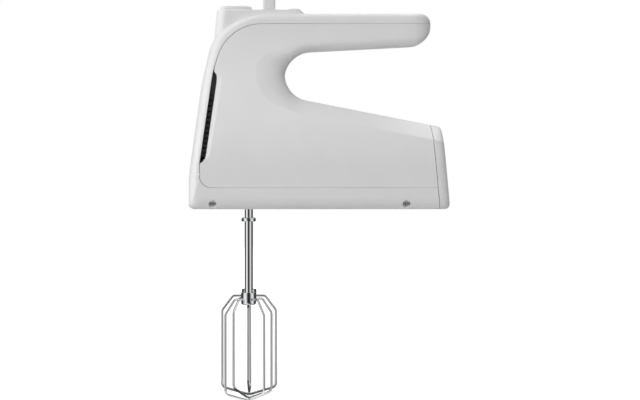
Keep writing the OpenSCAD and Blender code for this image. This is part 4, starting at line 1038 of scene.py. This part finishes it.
def coil(cad_node, wire, turns):
    """A compression spring in the place of a CAD node, with closed ends, and its length."""
    low, high = span(cad_node)
    r, length = (high.y - low.y) / 2 - wire / 2, high.z - low.z
    a = np.linspace(0, turns * 2 * math.pi, turns * 28 + 1)
    rise = np.clip((a / a[-1] * turns - 0.5) / (turns - 1.0), 0, 1)
    outwards = np.column_stack([np.cos(a), np.sin(a), np.zeros(len(a))])
    path = outwards * r + np.outer(wire / 2 + (length - wire) * rise, (0, 0, 1))
    mesh = sweep(path, outwards, wire / 2, 10)
    return moved(mesh, (low.x + high.x) / 2, (low.y + high.y) / 2, low.z), length


for word, wire, turns, travel in (("eject", 1.0, 5, 5.0), ("turbo", 0.8, 4, 2.0)):
    cad_node = f"{word}_spring"
    mesh, length = coil(cad_node, wire, turns)
    spring = mesh_object(f"{word}_coil", mesh)
    finish_piece(spring, "spring_steel", "housing", [cad_node], 60)
    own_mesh(spring)

# ---- Beaters ----
HUB_TOP, HUB_H, HUB_R, HUB_EDGE = -63.5, 9.4, 5.75, 1.5
WIRE_EXIT, WIRE_R = -68.7, 0.9
KNEE_R, CAGE_TOP, CAGE_R = 12.5, -79.8, 21.0
FOOT_Z = -146.5
TIP_SLOPE, TIP_R = math.radians(16.5), 12.0
SHAFT_R, SHAFT_TOP = 3.0, 58.0
COLLAR_Z = -9.6
# Radius, and height above the collar's foot.
COLLAR = [(2.9, 0), (4.9, 0), (5.25, 0.15), (5.4, 0.5), (5.4, 2.3), (5.25, 2.65), (4.9, 2.85),
          (4.4, 3), (2.9, 3)]


def wire_loop(up):
    """Middle line of one wire loop, lifted by up so that the two loops pass at the foot."""
    foot = WIRE_R + FOOT_Z + up - TIP_R * (1 / math.cos(TIP_SLOPE) - 1)
    edge = (CAGE_R, foot + CAGE_R * math.tan(TIP_SLOPE))
    tip = corner_arc(edge, (0, foot), (-edge[0], edge[1]), TIP_R, 16)
    knee, shoulder = (KNEE_R, WIRE_EXIT), (CAGE_R, CAGE_TOP)
    half = np.concatenate([
        [(HUB_R - 1.2, WIRE_EXIT)], corner_arc((0, WIRE_EXIT), knee, shoulder, 3, 10),
        corner_arc(knee, shoulder, edge, 4, 10), corner_arc(shoulder, edge, (0, foot), 4, 12),
        tip[:9]])
    path = []
    for a, b in zip(half[:-1], half[1:]):
        n = max(int(np.linalg.norm(b - a) / 2.5), 1)
        path += [a + (b - a) * i / n for i in range(n)]
    path = np.array(path + [half[-1]])
    path = np.concatenate([path, path[-2::-1] * (-1, 1)])
    return with_y(path, np.zeros(len(path)))


def wire(k, turn):
    """The first or second (k 0 or 1) of a beater's two loops, which cross at right angles."""
    path = wire_loop(k * (2 * WIRE_R + 0.1))
    mesh = sweep(path, np.tile((0.0, 1.0, 0.0), (len(path), 1)), WIRE_R, 20)
    return spun(mesh, turn + 90 * k, "Z")


shaft = lathe([(SHAFT_R, HUB_TOP - 0.9), (SHAFT_R, SHAFT_TOP - 0.6),
               (SHAFT_R - 0.15, SHAFT_TOP - 0.2), (SHAFT_R - 0.6, SHAFT_TOP)])
collar = moved(ring_lathe(COLLAR), 0, 0, COLLAR_Z)
hub_line = [(HUB_R - inset, 2 * HUB_TOP - HUB_H - z)
            for inset, z in round_edge(HUB_EDGE, HUB_TOP, range(90, -1, -15))]
hub_line += [(HUB_R - inset, z) for inset, z in round_edge(0.5, HUB_TOP, (0, 30, 60, 90))]
hub = lathe(hub_line, 72)
for side, word, turn in ((-1, "left", 34.0), (1, "right", 2.5)):
    rod = joined(shaft, collar) if side < 0 else shaft
    loops = joined(wire(0, turn), wire(1, turn))
    for kind, mesh, smooth in (("shaft", rod, 35), ("hub", hub, 35), ("wires", loops, 60)):
        obj = mesh_object(f"{kind}_{word}", moved(mesh, SPINDLE_X, side * SPINDLE_Y))
        finish_piece(obj, "beater_chrome", f"beater_{word}", [f"beater_{kind}_{word}"], smooth)

# ---- Base screws and cord gland: radius, and height along the axis ----
SCREW_LINE = [(1.45, BOSS_L), (1.45, WELL_L), (2.7, WELL_L), (2.7, WELL_L - 0.5),
              (2.45, WELL_L - 0.9), (1.7, WELL_L - 1.15), (0.9, WELL_L - 1.2)]
GLAND_LINE = [(3.6, 0), (6.55, 0), (6.85, 0.3), (6.85, 6), (9.2, 6), (9.5, 6.3), (9.5, 9.7),
              (9.2, 10)]
for z in (10.4, 11.4, 12.4):
    GLAND_LINE += [(6.85, z - 0.25), (6.45, z), (6.45, z + 0.3), (6.85, z + 0.55)]
GLAND_LINE += [(6.6, 13.2), (3.9, 13.2), (3.6, 12.9)]

screw = mesh_object("screw", lathe(SCREW_LINE, 48))
for degrees in (20, 110):
    cross = block(0, 0, 1.6, 0.32, WELL_L - 2, WELL_L - 0.4)
    combine(screw, spun(cross, degrees, "Z"), "DIFFERENCE")
screw = taken(screw)
screws = mesh_object("screw_heads", joined(*(turned(screw, at) for at in screw_places)))
finish_piece(screws, "steel", "housing", ["base_screws"], 35)
gland = mesh_object("gland", lying(ring_lathe(GLAND_LINE), BODY_L - 17, CORD_H))
finish_piece(gland, "gland_rubber", "housing", ["cord_gland"])

# ---- Floor, light and camera, in metres ----
FLOOR_R, FLOOR_DROP, FLOOR_SIDES, FLOOR_GREY = 3.0, 0.0003, 96, 0.6
# Glow of the floor for the camera near the mixer and far from it, where the lamps reach it less.
FLOOR_GLOW, FLOOR_FAR_GLOW = 0.46, 0.96
GLOW_NEAR, GLOW_FAR = 0.2, 2.4
SKY_LIGHT = 0.69
# What metal sees of the studio, by the cosine of the angle between a direction and the camera's:
# a grey backdrop between dark cards, bright walls, a dark camera side.
STUDIO = [(-1.0, 0.30), (-0.97, 0.06), (-0.30, 0.04), (0.0, 0.12), (0.32, 1.0),
          (0.75, 1.0), (0.88, 0.50), (0.955, 0.04), (1.0, 0.03)]
RIGHT_WALL = 0.85
# Name, place, side of the square lamp, watts.
LAMPS = [("left_front", (-1.5, -1.0, 0.9), 1.0, 6.3), ("front", (-0.5, -1.5, 1.6), 1.2, 15.0),
         ("left", (-2.0, 0.0, 0.4), 1.2, 17.0), ("back", (0.6, 1.0, 1.8), 1.2, 20.0),
         ("top", (-0.1, 0.1, 2.0), 1.4, 1.2)]
AIM = (0.0, 0.0, 0.18)
CAMERA_AT = (-0.0409, -1.420, 0.1714)
LENS, SENSOR, SHIFT = 103.5, 36.0, (0.086, -0.0375)


def math_node(operation, *inputs):
    return after(inputs[0], "Math", *inputs[1:], operation=operation).outputs[0]


def studio_tone(vector):
    """Brightness of the studio in the direction of a vector from the mixer."""
    flat = after(vector, "VectorMath", (1, 1, 0), operation="MULTIPLY").outputs[0]
    around = after(flat, "VectorMath", operation="NORMALIZE").outputs[0]
    parts = after(around, "SeparateXYZ").outputs
    front = math_node("MULTIPLY_ADD", parts["Y"], -0.5, 0.5)
    tone = ramp(front, [((cosine + 1) / 2, (grey, grey, grey)) for cosine, grey in STUDIO])
    return math_node("MULTIPLY", tone, map_range(parts["X"], 0.1, 0.5, 1.0, RIGHT_WALL))


def mixed(tree, ray, other, shown):
    """One shader for a kind of ray and another for the rest."""
    return after(node(tree, "LightPath").outputs[ray], "MixShader", other, shown).outputs[0]


def floor_white():
    """White paper: diffuse under the lamps, raised to white for the camera."""
    mat = bpy.data.materials.new("floor_white")
    mat.use_nodes = True
    tree = mat.node_tree
    tree.nodes.clear()
    coords = node(tree, "TexCoord").outputs["Object"]
    reach = after(coords, "VectorMath", operation="LENGTH").outputs["Value"]
    rise = map_range(reach, GLOW_NEAR, GLOW_FAR, FLOOR_GLOW, FLOOR_FAR_GLOW)
    camera_ray = node(tree, "LightPath").outputs["Is Camera Ray"]
    glow = node(tree, "Emission", Strength=math_node("MULTIPLY", camera_ray, rise)).outputs[0]
    paper = node(tree, "BsdfDiffuse", (FLOOR_GREY, FLOOR_GREY, FLOOR_GREY, 1)).outputs[0]
    lit = node(tree, "AddShader", paper, glow).outputs[0]
    mirrored = node(tree, "Emission", Strength=studio_tone(coords)).outputs[0]
    node(tree, "OutputMaterial", mixed(tree, "Is Glossy Ray", lit, mirrored))
    return mat


def studio_world():
    """White for the camera, the studio for metal, soft light from above for the rest."""
    world = bpy.data.worlds.new("studio")
    scene.world = world
    world.use_nodes = True
    tree = world.node_tree
    tree.nodes.clear()
    coords = node(tree, "TexCoord").outputs["Generated"]
    up = math_node("MAXIMUM", after(coords, "SeparateXYZ").outputs["Z"], 0.0)
    strengths = math_node("MULTIPLY", up, SKY_LIGHT), 1.0, studio_tone(coords)
    sky, white, studio = (node(tree, "Background", (1, 1, 1, 1), strength).outputs[0]
                          for strength in strengths)
    shown = mixed(tree, "Is Camera Ray", sky, white)
    node(tree, "OutputWorld", mixed(tree, "Is Glossy Ray", shown, studio))


rim = arc((0, 0), FLOOR_R / MM, 0, 360, FLOOR_SIDES)[:-1]
floor = mesh_object("floor", (level(rim, 0), [list(range(FLOOR_SIDES))]))
floor.location.z = -UNDERSIDE_Z - FLOOR_DROP
floor.data.materials.append(floor_white())
studio_world()

for name, at, size, watts in LAMPS:
    light = bpy.data.lights.new(name, "AREA")
    light.shape, light.size, light.size_y, light.energy = "RECTANGLE", size, size, watts
    lamp = add_object(name, light, at)
    lamp.visible_glossy = False
    lamp.rotation_euler = (Vector(AIM) - Vector(at)).to_track_quat("-Z", "Y").to_euler()

camera_data = bpy.data.cameras.new("camera")
camera_data.sensor_width, camera_data.lens = SENSOR, LENS
camera_data.shift_x, camera_data.shift_y = SHIFT
camera_data.clip_end = 100
camera = add_object("camera", camera_data, CAMERA_AT)
camera.rotation_euler = (math.radians(90), 0, 0)
scene.camera = camera
scene.view_settings.view_transform = "Standard"
